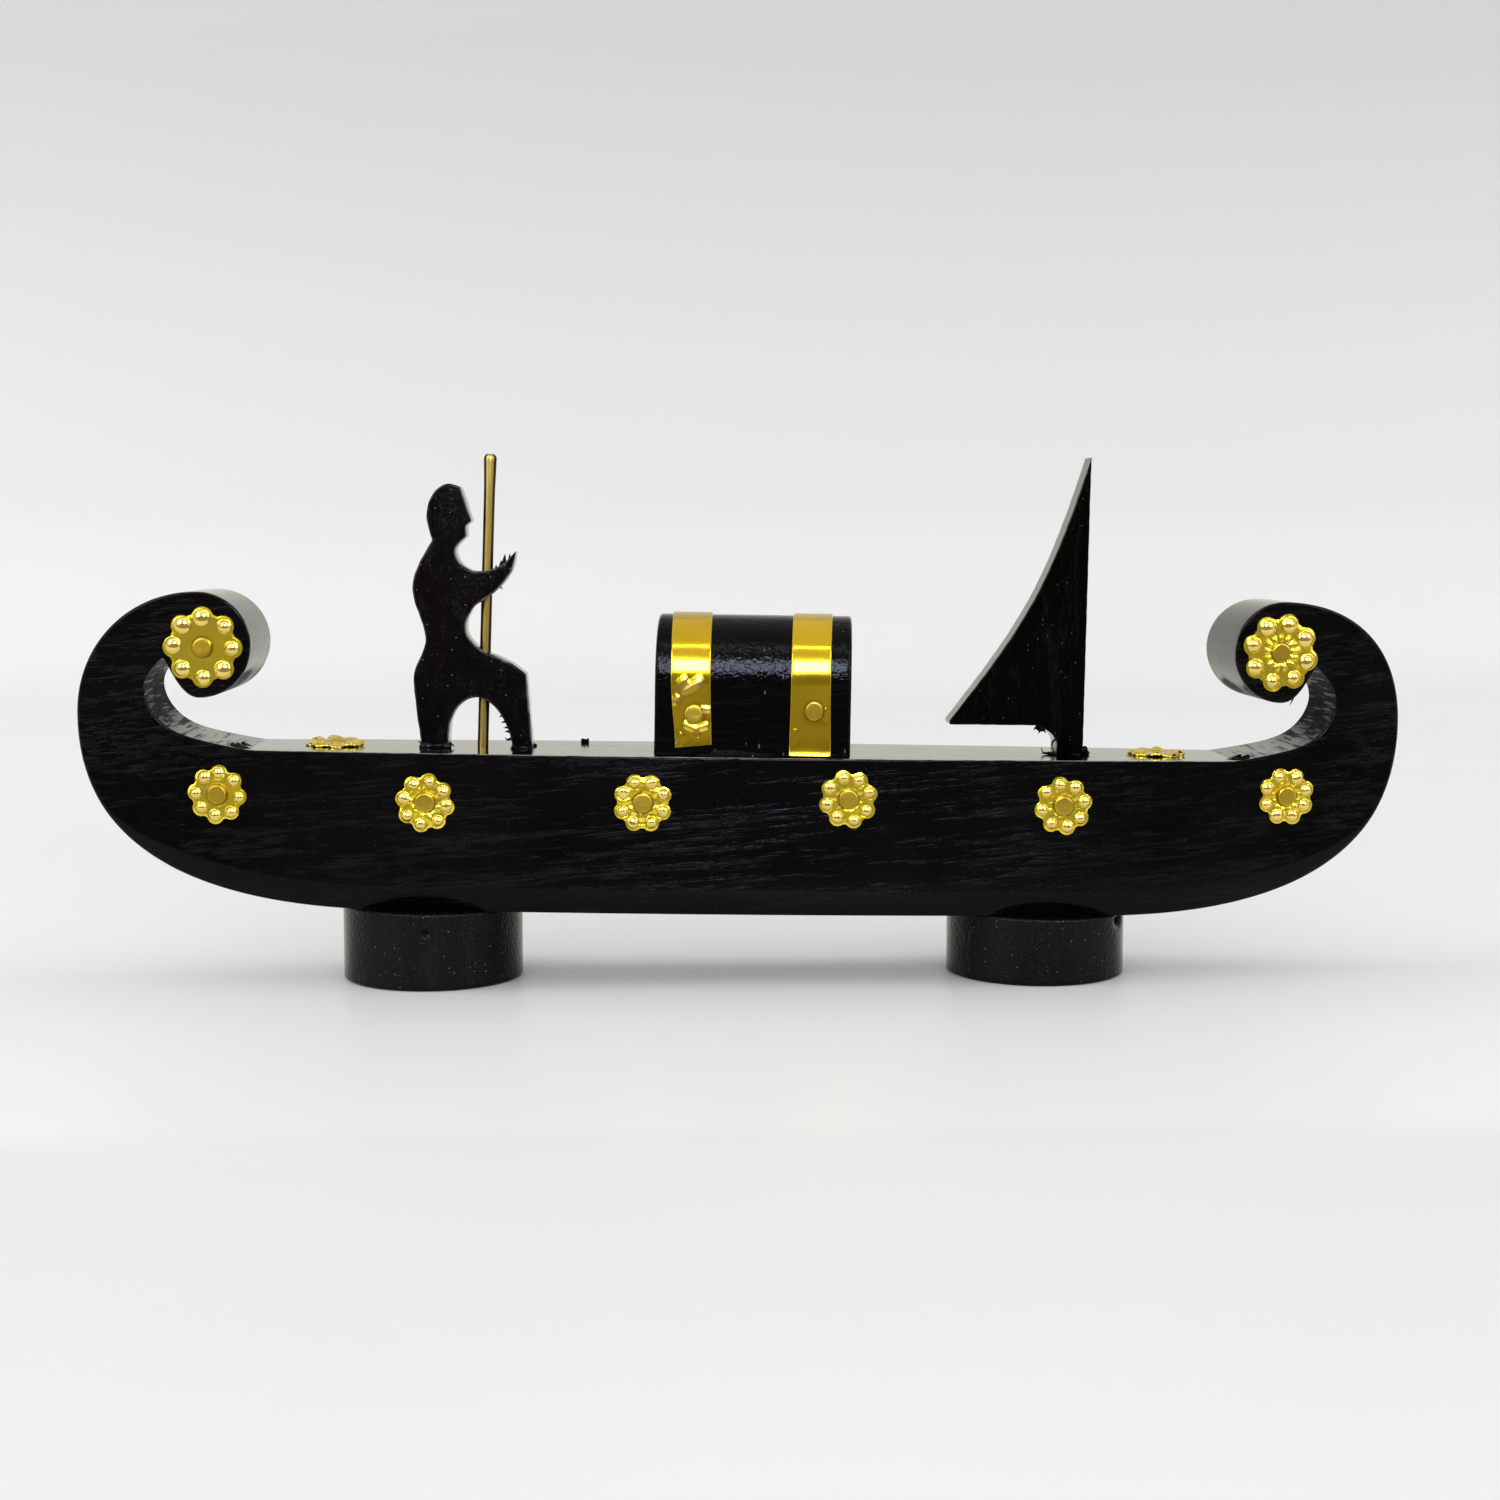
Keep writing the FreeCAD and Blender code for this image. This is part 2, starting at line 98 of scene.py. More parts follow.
print("lean in degrees", round(math.degrees(lean), 3), "keel at the middle", round(keel_middle, 2), "mm")

# %% [markdown]
# ## From grids of points to pieces
# Each new surface is a grid: rows along one parameter and columns along another. The faces of a grid follow
# from its size alone, so one helper numbers them and another joins several grids into a closed piece.
# Merging doubled points closes the seams and poles, and recalculating the normals afterwards turns every
# face outwards.

# %% Grid helpers
merge_distance = 2e-7
sliver_length = 1e-8
sharp_angle = 40


def round_angles(count):
    """Angles of evenly spaced points round a circle."""
    return np.linspace(0, 2 * math.pi, count, endpoint=False)


def quads(rows, cols, wrap_rows=False, wrap_cols=False):
    """Corner numbers of the faces of a rows x cols grid; wrapping joins the last line to the first."""
    col = np.arange(cols if wrap_cols else cols - 1)[None, :]
    next_col = (col + 1) % cols
    row = np.arange(rows if wrap_rows else rows - 1)[:, None]
    row_start = row * cols
    next_start = (row + 1) % rows * cols
    corners = [row_start + col, row_start + next_col, next_start + next_col, next_start + col]
    return np.stack(corners, -1).reshape(-1, 4)


def tube(rows, cols):
    """Faces of rings joined side by side into a tube, with a flat cap on the first ring and on the
    last."""
    ring = np.arange(cols)[None]
    return [quads(rows, cols, wrap_cols=True), ring, (rows - 1) * cols + ring]


def mesh_object(name, sheets, material, crease=sharp_angle, marks=None):
    """One mesh from sheets of (points in metres, face lists): doubles merged, faces outwards, smooth.
    Marks are values at the points, which a material can read by name."""
    clouds = [points.reshape(-1, 3) for points, _ in sheets]
    starts = np.cumsum([0] + [len(cloud) for cloud in clouds])
    faces = []
    for start, (_, groups) in zip(starts, sheets):
        for group in groups:
            faces += (np.asarray(group) + start).tolist()
    mesh = bpy.data.meshes.new(name)
    mesh.from_pydata(np.concatenate(clouds).tolist(), [], faces)
    for mark_name, values in (marks or {}).items():
        attribute = mesh.attributes.new(mark_name, "FLOAT", "POINT")
        attribute.data.foreach_set("value", np.asarray(values, np.float32).ravel())
    shell = bmesh.new()
    shell.from_mesh(mesh)
    bmesh.ops.remove_doubles(shell, verts=shell.verts, dist=merge_distance)
    bmesh.ops.dissolve_degenerate(shell, edges=shell.edges, dist=sliver_length)
    bmesh.ops.recalc_face_normals(shell, faces=shell.faces)
    shell.to_mesh(mesh)
    shell.free()
    corner_counts = np.zeros(len(mesh.polygons), np.int32)
    mesh.polygons.foreach_get("loop_total", corner_counts)
    mesh.polygons.foreach_set("use_smooth", corner_counts <= 4)
    mesh.set_sharp_from_angle(angle=math.radians(crease))
    mesh.materials.append(material)
    made = bpy.data.objects.new(name, mesh)
    bpy.context.scene.collection.objects.link(made)
    return made


print("sheets are merged where points are within", merge_distance, "m")

# %% [markdown]
# A finished piece is one mesh. Holes are cut out of it first, by a Boolean that is worked out at once, and
# splinters and lumps are joined to it afterwards, because a Boolean needs a mesh that does not pass through
# itself. The piece is then told which body it rides on and which solids it stands for.

# %% Piece helpers
def drill(piece, bits):
    """Cuts sheets in the shape of round bits out of a piece, once, so that no modifier is left on it."""
    cutter = mesh_object("bits", bits, piece.data.materials[0])
    cut = piece.modifiers.new("drill", "BOOLEAN")
    cut.operation = "DIFFERENCE"
    cut.solver = "EXACT"
    cut.object = cutter
    bpy.context.view_layer.update()
    graph = bpy.context.evaluated_depsgraph_get()
    drilled = bpy.data.meshes.new_from_object(
        piece.evaluated_get(graph), preserve_all_data_layers=True, depsgraph=graph
    )
    piece.modifiers.clear()
    piece.data = drilled
    bpy.data.objects.remove(cutter)


def add_rough(piece, rough):
    """Adds splinters and lumps to a piece's mesh. They get none of its marks."""
    extra = mesh_object("rough", rough, piece.data.materials[0])
    both = bmesh.new()
    both.from_mesh(piece.data)
    both.from_mesh(extra.data)
    both.to_mesh(piece.data)
    both.free()
    bpy.data.objects.remove(extra)


def dress(
    name, sheets, material, slot, *nodes, body="boat", crease=sharp_angle, marks=None, bits=(), rough=(),
):
    """A finished piece that rides on a body and stands for CAD nodes. Bits drill it, and then rough work
    is added to it."""
    piece = mesh_object(name, sheets, material, crease, marks)
    if bits:
        drill(piece, bits)
        piece.data.set_sharp_from_angle(angle=math.radians(crease))
    if rough:
        add_rough(piece, rough)
    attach(piece, body)
    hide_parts(*nodes)
    print(name, "has", len(piece.data.polygons), "faces and stands for", len(nodes), "node(s)")


print("piece helpers ready")

# %% [markdown]
# ## Outlines
# The hull, the boatman and the sail are sawn from boards, so each starts as an outline. Long curves pass
# through a few points as a cubic spline. The closed outline is then resampled evenly and averaged over a
# fraction of a millimetre, as sandpaper rounds a sawn corner.

# %% Curve helpers
bezier_points = 80


def smooth_run(knots, count=60):
    """A cubic spline through its knots over their chord lengths, with no bend at its ends."""
    knots = np.array(knots, float)
    steps = np.linalg.norm(np.diff(knots, axis=0), axis=1)
    last = len(knots) - 1
    system = np.eye(last + 1)
    inner = np.arange(1, last)
    system[inner, inner - 1] = steps[:-1]
    system[inner, inner] = 2 * (steps[:-1] + steps[1:])
    system[inner, inner + 1] = steps[1:]
    pull = np.zeros_like(knots)
    pull[1:-1] = 6 * np.diff(np.diff(knots, axis=0) / steps[:, None], axis=0)
    bends = np.linalg.solve(system, pull)
    stations = np.concatenate([[0], np.cumsum(steps)])
    places = np.linspace(0, stations[-1], count)
    span = np.clip(np.searchsorted(stations, places, side="right") - 1, 0, last - 1)
    ahead = (stations[span + 1] - places)[:, None]
    behind = (places - stations[span])[:, None]
    step = steps[span][:, None]
    cubic = (bends[span] * ahead ** 3 + bends[span + 1] * behind ** 3) / (6 * step)
    from_knot = (knots[span] / step - bends[span] * step / 6) * ahead
    to_knot = (knots[span + 1] / step - bends[span + 1] * step / 6) * behind
    return cubic + (from_knot + to_knot)


def arc(centre, radius, start, stop, count=60):
    """Points on a circle from one angle to another, in degrees."""
    angle = np.radians(np.linspace(start, stop, count))
    return np.array(centre) + radius * np.stack([np.cos(angle), np.sin(angle)], -1)


def bezier(a, b, c, d):
    """Points on a cubic Bezier curve from a to d, pulled towards b and c."""
    t = np.linspace(0, 1, bezier_points)[:, None]
    a, b, c, d = (np.array(p, float) for p in (a, b, c, d))
    return (1 - t) ** 3 * a + 3 * (1 - t) ** 2 * t * b + 3 * (1 - t) * t ** 2 * c + t ** 3 * d


def lengths_along(points):
    """Distance along a run of points from its start."""
    return np.concatenate([[0], np.cumsum(np.linalg.norm(np.diff(points, axis=0), axis=1))])


def sampled(line, along, places):
    """Points of a line, whose lengths along it are given, at other lengths along it."""
    return np.stack([np.interp(places, along, line[:, axis]) for axis in (0, 1)], -1)


def soften(outline, step, reach):
    """A closed outline resampled at an even step, then averaged with a Gaussian of the given reach."""
    closed = np.vstack([outline, outline[:1]])
    along = lengths_along(closed)
    count = int(along[-1] / step)
    even = sampled(closed, along, np.arange(count) * along[-1] / count)
    waves = np.fft.fftfreq(count, along[-1] / count)
    keep = np.exp(-2 * (math.pi * waves * reach) ** 2)[:, None]
    return np.fft.ifft(np.fft.fft(even, axis=0) * keep, axis=0).real


def inward(outline):
    """Unit normals of a closed outline that point into the wood, whichever way round it runs."""
    ahead = np.roll(outline, -1, 0)
    tangent = ahead - np.roll(outline, 1, 0)
    normal = np.stack([-tangent[:, 1], tangent[:, 0]], -1)
    normal /= np.linalg.norm(normal, axis=1, keepdims=True)
    area = np.sum(outline[:, 0] * ahead[:, 1] - ahead[:, 0] * outline[:, 1])
    return normal * np.sign(area)


print("curve helpers ready")

# %% [markdown]
# A sawn board is its outline carried through the thickness. Its rims are rounded by a few rings that step
# inwards along a quarter circle. A bevel modifier could round them too, but here the rounding can shrink
# wherever a tight corner leaves no room for it.

# %% Boards
corner_share = 0.6
corner_easing = 1.6


def edge_room(outline, edge):
    """Rounding that each place of an outline has room for: a share of the radius at tight outward corners,
    eased along the outline."""
    ahead = np.roll(outline, -1, 0) - outline
    behind = outline - np.roll(outline, 1, 0)
    step = np.linalg.norm(ahead, axis=1)
    turning = (behind[:, 0] * ahead[:, 1] - behind[:, 1] * ahead[:, 0]) / step ** 3
    turning = turning * np.sign(np.sum(turning * step))
    room = np.minimum(edge, corner_share / np.maximum(turning, 1e-6))
    reach = int(corner_easing / step.mean())
    shifts = range(-reach, reach + 1)
    room = np.min([np.roll(room, shift) for shift in shifts], axis=0)
    return np.mean([np.roll(room, shift) for shift in shifts], axis=0)


rim_rings = 6
wall_rings = 6
wall_margin = 0.12
# Pale rim profile from the edge inwards: wear and a painted highlight.
board_rim_wear_and_highlight = np.array([0.0, 0.2, 0.6, 1.0, 1.0, 0.7])[:, None]
rim_dullness = np.array([0.9, 1.0, 1.0, 1.0, 0.5, 0.0])[:, None]


def board(outline, thickness, edge, limit=np.inf):
    """A flat board: the outline carried through the thickness, its rims rounded by quarter circles, and
    capped flat. The rounding keeps to a limit where the outline is narrow. Gives points (along, through,
    up) and faces."""
    turn = np.linspace(0, math.pi / 2, rim_rings)[:, None]
    room = np.minimum(edge_room(outline, edge), limit)[None]
    inset = room * (1 - np.sin(turn))
    depth = room * (1 - np.cos(turn))
    wall = np.linspace(-1, 1, wall_rings)[:, None] * (thickness / 2 - edge - wall_margin)
    wall = np.broadcast_to(wall, (wall_rings, len(outline)))
    ring_inset = np.concatenate([inset, wall * 0, inset[::-1]])
    through = np.concatenate([depth - thickness / 2, wall, (thickness / 2 - depth)[::-1]])
    flat = outline[None] + inward(outline)[None] * ring_inset[..., None]
    return np.stack([flat[..., 0], through, flat[..., 1]], -1), tube(*through.shape)


def rim_marks(outline, facing, elsewhere):
    """Marks for a board: a front rim painted pale, for wear and as a painted highlight, by different shares
    where it faces along +X and elsewhere, and a dull back rim."""
    to_right = np.clip(-inward(outline)[:, 0], 0, 1)
    wear_and_highlight = elsewhere + (facing - elsewhere) * to_right
    rest = np.zeros((wall_rings + rim_rings, len(outline)))
    back = np.broadcast_to(rim_dullness, (rim_rings, len(outline)))
    return {"wear_and_highlight": np.concatenate([board_rim_wear_and_highlight * wear_and_highlight, rest]), "dull": np.concatenate([rest, back])}


print("a board has", 2 * rim_rings + wall_rings, "rings")

# %% [markdown]
# ## Shader building blocks
# Several finishes share the same effects: fine grain, specks of dust under the lacquer, and the shallow
# dents of hand-worked sheet. Each effect is a node group with its own inputs, and puts out only a height or
# a mask. The Principled BSDF stays in each material, where an exporter can read it.

# %% Node helpers
def set_inputs(tree, node, inputs):
    """A node's inputs: linked where a socket is given, and set where a value is given."""
    for key, value in inputs.items():
        if isinstance(value, bpy.types.NodeSocket):
            tree.links.new(value, node.inputs[key])
        else:
            node.inputs[key].default_value = value


def add_node(tree, kind, inputs=None, **settings):
    """A new node with its settings and inputs."""
    node = tree.nodes.new(kind)
    for name, value in settings.items():
        setattr(node, name, value)
    set_inputs(tree, node, inputs or {})
    return node


def maths(tree, operation, first, second=0.0):
    """Result of one arithmetic step on sockets or numbers."""
    return add_node(tree, "ShaderNodeMath", {0: first, 1: second}, operation=operation).outputs[0]


def times(tree, first, second):
    """A product of sockets or numbers."""
    return maths(tree, "MULTIPLY", first, second)


def plus(tree, first, second):
    """A sum of sockets or numbers."""
    return maths(tree, "ADD", first, second)


def ramp(tree, value, low, high, bottom=0.0, top=1.0):
    """A value moved from the range low..high to bottom..top, and held there."""
    inputs = {"Value": value, "From Min": low, "From Max": high, "To Min": bottom, "To Max": top}
    return add_node(tree, "ShaderNodeMapRange", inputs, clamp=True).outputs[0]


def mix_colour(tree, share, first, second):
    """A colour between two, by a share."""
    return add_node(tree, "ShaderNodeMix", {0: share, 6: first, 7: second}, data_type="RGBA").outputs[2]


def noise(tree, vector, scale, detail=3.0, roughness=0.5):
    """Soft random values over space, around one half."""
    inputs = {"Vector": vector, "Scale": scale, "Detail": detail, "Roughness": roughness}
    return add_node(tree, "ShaderNodeTexNoise", inputs).outputs[0]


def stretch(tree, vector, scale, turn=(0.0, 0.0, 0.0)):
    """Coordinates scaled, and turned, so that a pattern becomes long in one direction."""
    inputs = {"Vector": vector, "Scale": scale, "Rotation": turn}
    return add_node(tree, "ShaderNodeMapping", inputs).outputs[0]


def part_of(tree, vector, axis):
    """One coordinate of a vector."""
    return add_node(tree, "ShaderNodeSeparateXYZ", {0: vector}).outputs[axis]


def mark(tree, name):
    """The values of a mark that the mesh carries; 0 where it has none."""
    return add_node(tree, "ShaderNodeAttribute", attribute_name=name).outputs["Fac"]


def bump(tree, height):
    """A normal that follows a height in metres."""
    return add_node(tree, "ShaderNodeBump", {"Height": height, "Strength": 1.0, "Distance": 1.0}).outputs[0]


print("node helpers ready")

# %% [markdown]
# Three effects are shared. Grain is noise drawn out along the wood. Specks of dust are the middles of a few
# random cells. Dents are soft noise, with larger patches where the metal has tarnished. Image textures
# could hold them too, but noise has no seams and needs no unwrapping.

# %% Shared effects
VECTOR = "NodeSocketVector"
NUMBER = "NodeSocketFloat"


def new_group(name, inputs, outputs):
    """An empty shader node group with named inputs and outputs."""
    group = bpy.data.node_groups.new(name, "ShaderNodeTree")
    for socket, kind in inputs:
        group.interface.new_socket(socket, in_out="INPUT", socket_type=kind)
    for socket in outputs:
        group.interface.new_socket(socket, in_out="OUTPUT", socket_type=NUMBER)
    return group, group.nodes.new("NodeGroupInput").outputs, group.nodes.new("NodeGroupOutput")


grain_stretch = (0.035, 1.0, 1.0)
broad_share = 0.22
pore_weight = 0.6
streak_range = (0.52, 0.66)
grain_inputs = [("Vector", VECTOR), ("Fineness", NUMBER)]
grain_group, given, result = new_group("wood_grain", grain_inputs, ["Height", "Streaks"])
along_grain = stretch(grain_group, given["Vector"], grain_stretch)
pores = noise(grain_group, along_grain, given["Fineness"], 4.0, 0.6)
broad = noise(grain_group, along_grain, times(grain_group, given["Fineness"], broad_share), 2.0)
pore_height = times(grain_group, pores, pore_weight)
height = plus(grain_group, pore_height, times(grain_group, broad, 1 - pore_weight))
set_inputs(grain_group, result, {"Height": height, "Streaks": ramp(grain_group, height, *streak_range)})

speck_edge = (0.10, 0.18)
speck_rarity = 0.8
speck_group, given, result = new_group("dust_specks", [("Vector", VECTOR), ("Spacing", NUMBER)], ["Mask"])
cell_inputs = {"Vector": given["Vector"], "Scale": given["Spacing"]}
cells = add_node(speck_group, "ShaderNodeTexVoronoi", cell_inputs)
chosen = add_node(speck_group, "ShaderNodeSeparateColor", {"Color": cells.outputs["Color"]})
near = ramp(speck_group, cells.outputs["Distance"], *speck_edge, 1.0, 0.0)
few = maths(speck_group, "GREATER_THAN", chosen.outputs[0], speck_rarity)
set_inputs(speck_group, result, {"Mask": times(speck_group, near, few)})

patch_share = 0.35
patch_range = (0.4, 0.65)
dent_inputs = [("Vector", VECTOR), ("Scale", NUMBER)]
dent_group, given, result = new_group("hand_dents", dent_inputs, ["Height", "Tarnish"])
hammered = noise(dent_group, given["Vector"], given["Scale"], 1.0)
patches = noise(dent_group, given["Vector"], times(dent_group, given["Scale"], patch_share), 3.0)
set_inputs(dent_group, result, {"Height": hammered, "Tarnish": ramp(dent_group, patches, *patch_range)})


def use_group(tree, group, **inputs):
    """One use of a node group with its own values; gives its outputs."""
    return add_node(tree, "ShaderNodeGroup", inputs, node_tree=group).outputs


def new_material(name):
    """A material, its tree, its Principled BSDF and its object coordinates."""
    material = bpy.data.materials.new(name)
    material.use_nodes = True
    tree = material.node_tree
    where = tree.nodes.new("ShaderNodeTexCoord").outputs["Object"]
    return material, tree, tree.nodes["Principled BSDF"], where


print("node groups:", [group.name for group in bpy.data.node_groups])

# %% [markdown]
# ## Black lacquer
# The boat is brushed with a thin black lacquer over bare wood. Up close it is not one black: brown shows
# through in places, the grain stays as fine lines in the gloss, and pale dust has dried into the film. A
# flat black with a fixed roughness would look like plastic, so grain drives the bump and the roughness, and
# dust the colour. The grain lines are also painted a little lighter, as grain and as a painted sheen. Marks
# on the mesh say where an edge is painted pale, for wear and as a painted highlight, where the film is dull,
# and where the saw left the wood rough, which turns the gloss down and the bump up.

# %% Lacquer
BLACK_FILM = (0.0008, 0.0006, 0.0006, 1.0)
# Lighter tone of the grain lines: partly the wood's grain, partly a painted sheen along it.
GRAIN_AND_SHEEN_TONE = (0.011, 0.0095, 0.0095, 1.0)
DUST_TONE = (0.16, 0.145, 0.14, 1.0)
# Pale tone of marked rims: wear and a painted highlight.
WEAR_AND_HIGHLIGHT_TONE = (0.36, 0.35, 0.33, 1.0)
WAX_TINT = (1.0, 0.98, 0.6, 1.0)
grain_and_sheen_share = 0.35
line_roughness = 0.12
level_line_share = 0.15
speck_spacing = 900.0
peel_scale = 1200.0
full_gloss = 0.5
no_gloss = 0.02
thin_scale = 28.0
thin_range = (0.42, 0.7)
wear_and_highlight_scale = 260.0
wear_and_highlight_range = (0.36, 0.54)
slant_range = (0.58, 0.85)
wax_roughness = 0.06
groove_scale = 950.0
groove_depth = 0.0005
across_share = 0.07
pit_range = (0.54, 0.66)
sawn_roughness = 0.2
sawn_matt = 0.8


def saw_marks(tree, where):
    """What a saw leaves where the mesh is marked as sawn: its teeth run across the cut. Gives the mark,
    the height of the grooves in metres, and the pits that stay without shine."""
    sawn = mark(tree, "sawn")
    across = times(tree, part_of(tree, where, "Y"), across_share)
    cut = add_node(tree, "ShaderNodeCombineXYZ", {0: mark(tree, "run"), 1: across}).outputs[0]
    teeth = noise(tree, cut, groove_scale, 4.0, 0.6)
    deep = plus(tree, teeth, times(tree, sawn, 0.22))
    pits = times(tree, maths(tree, "GREATER_THAN", sawn, 0.02), ramp(tree, deep, *pit_range))
    return sawn, times(tree, sawn, times(tree, teeth, groove_depth)), pits


def lacquer(
    name, grain, depth, gloss, brown, dust,
    peel=0.0, black=BLACK_FILM, flecks=(1.0, 1.0, 1.0), wax=0.5, ior=1.25, sawn=False,
):
    """Black lacquer over wood. Grain gives the fineness, scale and turn of its lines, and depth their
    height on upright faces; peel is the height of the film's own waves, dust the share of pale specks, and
    flecks their scale. Wax is a film that shows only at a slant, and brightens what is seen edge on. The
    mesh may mark edges that are painted pale, for wear and as a painted highlight, or dull, which do not
    shine."""
    material, tree, shader, where = new_material(name)
    fineness, grain_scale, grain_turn = grain
    along = stretch(tree, where, grain_scale, grain_turn)
    streaks = use_group(tree, grain_group, Vector=along, Fineness=fineness)["Streaks"]
    specks = use_group(tree, speck_group, Vector=stretch(tree, where, flecks), Spacing=speck_spacing)["Mask"]
    thin = ramp(tree, noise(tree, where, thin_scale, 3.0), *thin_range)
    rubbed = ramp(tree, noise(tree, where, wear_and_highlight_scale, 3.0), *wear_and_highlight_range)
    colour = mix_colour(tree, thin, black, brown)
    # Grain lines painted lighter: grain and a painted sheen.
    colour = mix_colour(tree, times(tree, streaks, grain_and_sheen_share), colour, GRAIN_AND_SHEEN_TONE)
    colour = mix_colour(tree, times(tree, specks, dust), colour, DUST_TONE)
    # Marked rims go pale in patches: wear and a painted highlight.
    colour = mix_colour(tree, times(tree, mark(tree, "wear_and_highlight"), rubbed), colour, WEAR_AND_HIGHLIGHT_TONE)
    rough = plus(tree, gloss, times(tree, streaks, line_roughness))
    normal = tree.nodes.new("ShaderNodeNewGeometry").outputs["Normal"]
    level = maths(tree, "ABSOLUTE", part_of(tree, normal, "Z"))
    line_depth = ramp(tree, level, 0.5, 0.95, depth, depth * level_line_share)
    waves = times(tree, noise(tree, where, peel_scale, 2.0), peel)
    height = plus(tree, times(tree, streaks, line_depth), waves)
    slant = add_node(tree, "ShaderNodeLayerWeight", {"Blend": 0.5}).outputs["Facing"]
    hidden = mark(tree, "dull")
    matt = hidden
    if sawn:
        cut, grooves, pits = saw_marks(tree, where)
        height = plus(tree, height, grooves)
        rough = plus(tree, rough, times(tree, cut, sawn_roughness))
        hidden = maths(tree, "MAXIMUM", pits, hidden)
        matt = maths(tree, "MAXIMUM", hidden, times(tree, cut, sawn_matt))
    waxed = ramp(tree, slant, *slant_range, 0.0, wax)
    shine = times(tree, waxed, maths(tree, "SUBTRACT", 1.0, matt))
    set_inputs(tree, shader, {
        "Base Color": colour, "Roughness": rough, "Normal": bump(tree, height), "IOR": ior,
        "Specular IOR Level": ramp(tree, hidden, 0.0, 1.0, full_gloss, no_gloss),
        "Coat Weight": shine, "Coat Roughness": wax_roughness, "Coat Tint": WAX_TINT,
    })
    return material


LONG_GRAIN = (1500.0, (1.6, 1.0, 1.0), (0.0, 0.05, 0.0))
UPRIGHT_GRAIN = (1500.0, (1.0, 1.0, 5.0), (0.0, math.pi / 2, 0.0))
MOTTLED_GRAIN = (900.0, (70.0, 1.0, 1.0), (0.0, 0.0, 0.0))
hull_lacquer = lacquer(
    "hull_lacquer", LONG_GRAIN, 0.00005, 0.10, (0.0026, 0.0018, 0.002, 1.0), 0.08,
    peel=0.00002, wax=0.42, ior=1.19, sawn=True,
)
cabin_lacquer = lacquer(
    "cabin_lacquer", LONG_GRAIN, 0.000008, 0.05, (0.0010, 0.0007, 0.0004, 1.0), 0.6,
    peel=0.00013, flecks=(0.8, 0.8, 0.3), ior=1.18,
)
sail_lacquer = lacquer(
    "sail_lacquer", UPRIGHT_GRAIN, 0.000006, 0.16, (0.0007, 0.0006, 0.0002, 1.0), 0.4, wax=0.55, ior=1.14,
)
figure_lacquer = lacquer(
    "figure_lacquer", MOTTLED_GRAIN, 0.00003, 0.2, (0.0036, 0.0018, 0.0016, 1.0), 0.8,
    peel=0.00007, wax=0.7, ior=1.18,
)
foot_stain = lacquer(
    "foot_stain", UPRIGHT_GRAIN, 0.00002, 0.2, (0.0046, 0.0032, 0.0036, 1.0), 0.7,
    peel=0.0003, black=(0.0016, 0.0013, 0.0015, 1.0), ior=1.2,
)
lacquers = (hull_lacquer, cabin_lacquer, sail_lacquer, figure_lacquer, foot_stain)
print("lacquers:", [material.name for material in lacquers])

# %% [markdown]
# ## Brass
# The trim is thin yellow brass: stamped sheet, a drawn wire and flat nail heads. Polished metal is almost
# all reflection, so its look comes from small changes of slope. The sheet gets shallow dents and patches of
# a redder, duller tone; the nail heads are flatter and browner. Marks on the mesh say where shade is
# painted into a crease or along the sides of the pole, and where a bead or a fold has been rubbed.

# %% Brass
painted_shade_share = 0.6
rubbed_share = 0.8
patch_roughness = 0.08
rolled_stretch = (1.0, 0.05, 0.05)
rolled_scale = 1800.0
film_roughness = 0.08


def brass(
    name, bright, dull, gloss, dent_scale, dent_depth, bead_gloss=0.12, rolled=0.0, film=0.25,
    shadow=(0.26, 0.17, 0.006, 1.0), rubbed=(0.84, 0.62, 0.17, 1.0),
):
    """Yellow brass with dents and duller patches, under a clear film that keeps highlights pale. The mesh
    may mark creases, which get painted shade, and beads or folds, which were rubbed. Rolled is the height of
    lines up and down the sheet, film the weight of the clear film, shadow the tone of the painted shade and
    rubbed that of a bead."""
    material, tree, shader, where = new_material(name)
    dents = use_group(tree, dent_group, Vector=where, Scale=dent_scale)
    bead = mark(tree, "bead")
    colour = mix_colour(tree, dents["Tarnish"], bright, dull)
    colour = mix_colour(tree, times(tree, bead, rubbed_share), colour, rubbed)
    # Painted shade: marked creases, and the pole's sides, are darkened towards the shadow tone.
    colour = mix_colour(tree, times(tree, mark(tree, "crease"), painted_shade_share), colour, shadow)
    plain = ramp(tree, dents["Tarnish"], 0.0, 1.0, gloss, gloss + patch_roughness)
    polished = times(tree, bead, maths(tree, "SUBTRACT", bead_gloss, plain))
    lines = noise(tree, stretch(tree, where, rolled_stretch), rolled_scale, 3.0)
    height = plus(tree, times(tree, dents["Height"], dent_depth), times(tree, lines, rolled))
    set_inputs(tree, shader, {
        "Base Color": colour, "Roughness": plus(tree, plain, polished), "Normal": bump(tree, height),
        "Metallic": 1.0, "Coat Weight": film, "Coat Roughness": film_roughness,
    })
    return material


sheet_brass = brass(
    "sheet_brass", (0.86, 0.64, 0.045, 1.0), (0.70, 0.49, 0.018, 1.0), 0.22, 420.0, 0.00006,
    bead_gloss=0.15, film=0.2, shadow=(0.14, 0.095, 0.003, 1.0),
)
strap_brass = brass(
    "strap_brass", (0.78, 0.51, 0.010, 1.0), (0.66, 0.41, 0.007, 1.0), 0.1, 160.0, 0.00004,
    bead_gloss=0.3, rolled=0.00003, film=0.35, rubbed=(0.56, 0.35, 0.10, 1.0),
)
nail_brass = brass(
    "nail_brass", (0.54, 0.37, 0.035, 1.0), (0.42, 0.27, 0.02, 1.0), 0.3, 500.0, 0.00008, film=0.15,
)
wire_brass = brass(
    "wire_brass", (0.50, 0.36, 0.10, 1.0), (0.40, 0.27, 0.06, 1.0), 0.3, 90.0, 0.00006,
    film=0.0, shadow=(0.016, 0.009, 0.002, 1.0),
)
print("brasses:", sheet_brass.name, strap_brass.name, nail_brass.name, wire_brass.name)

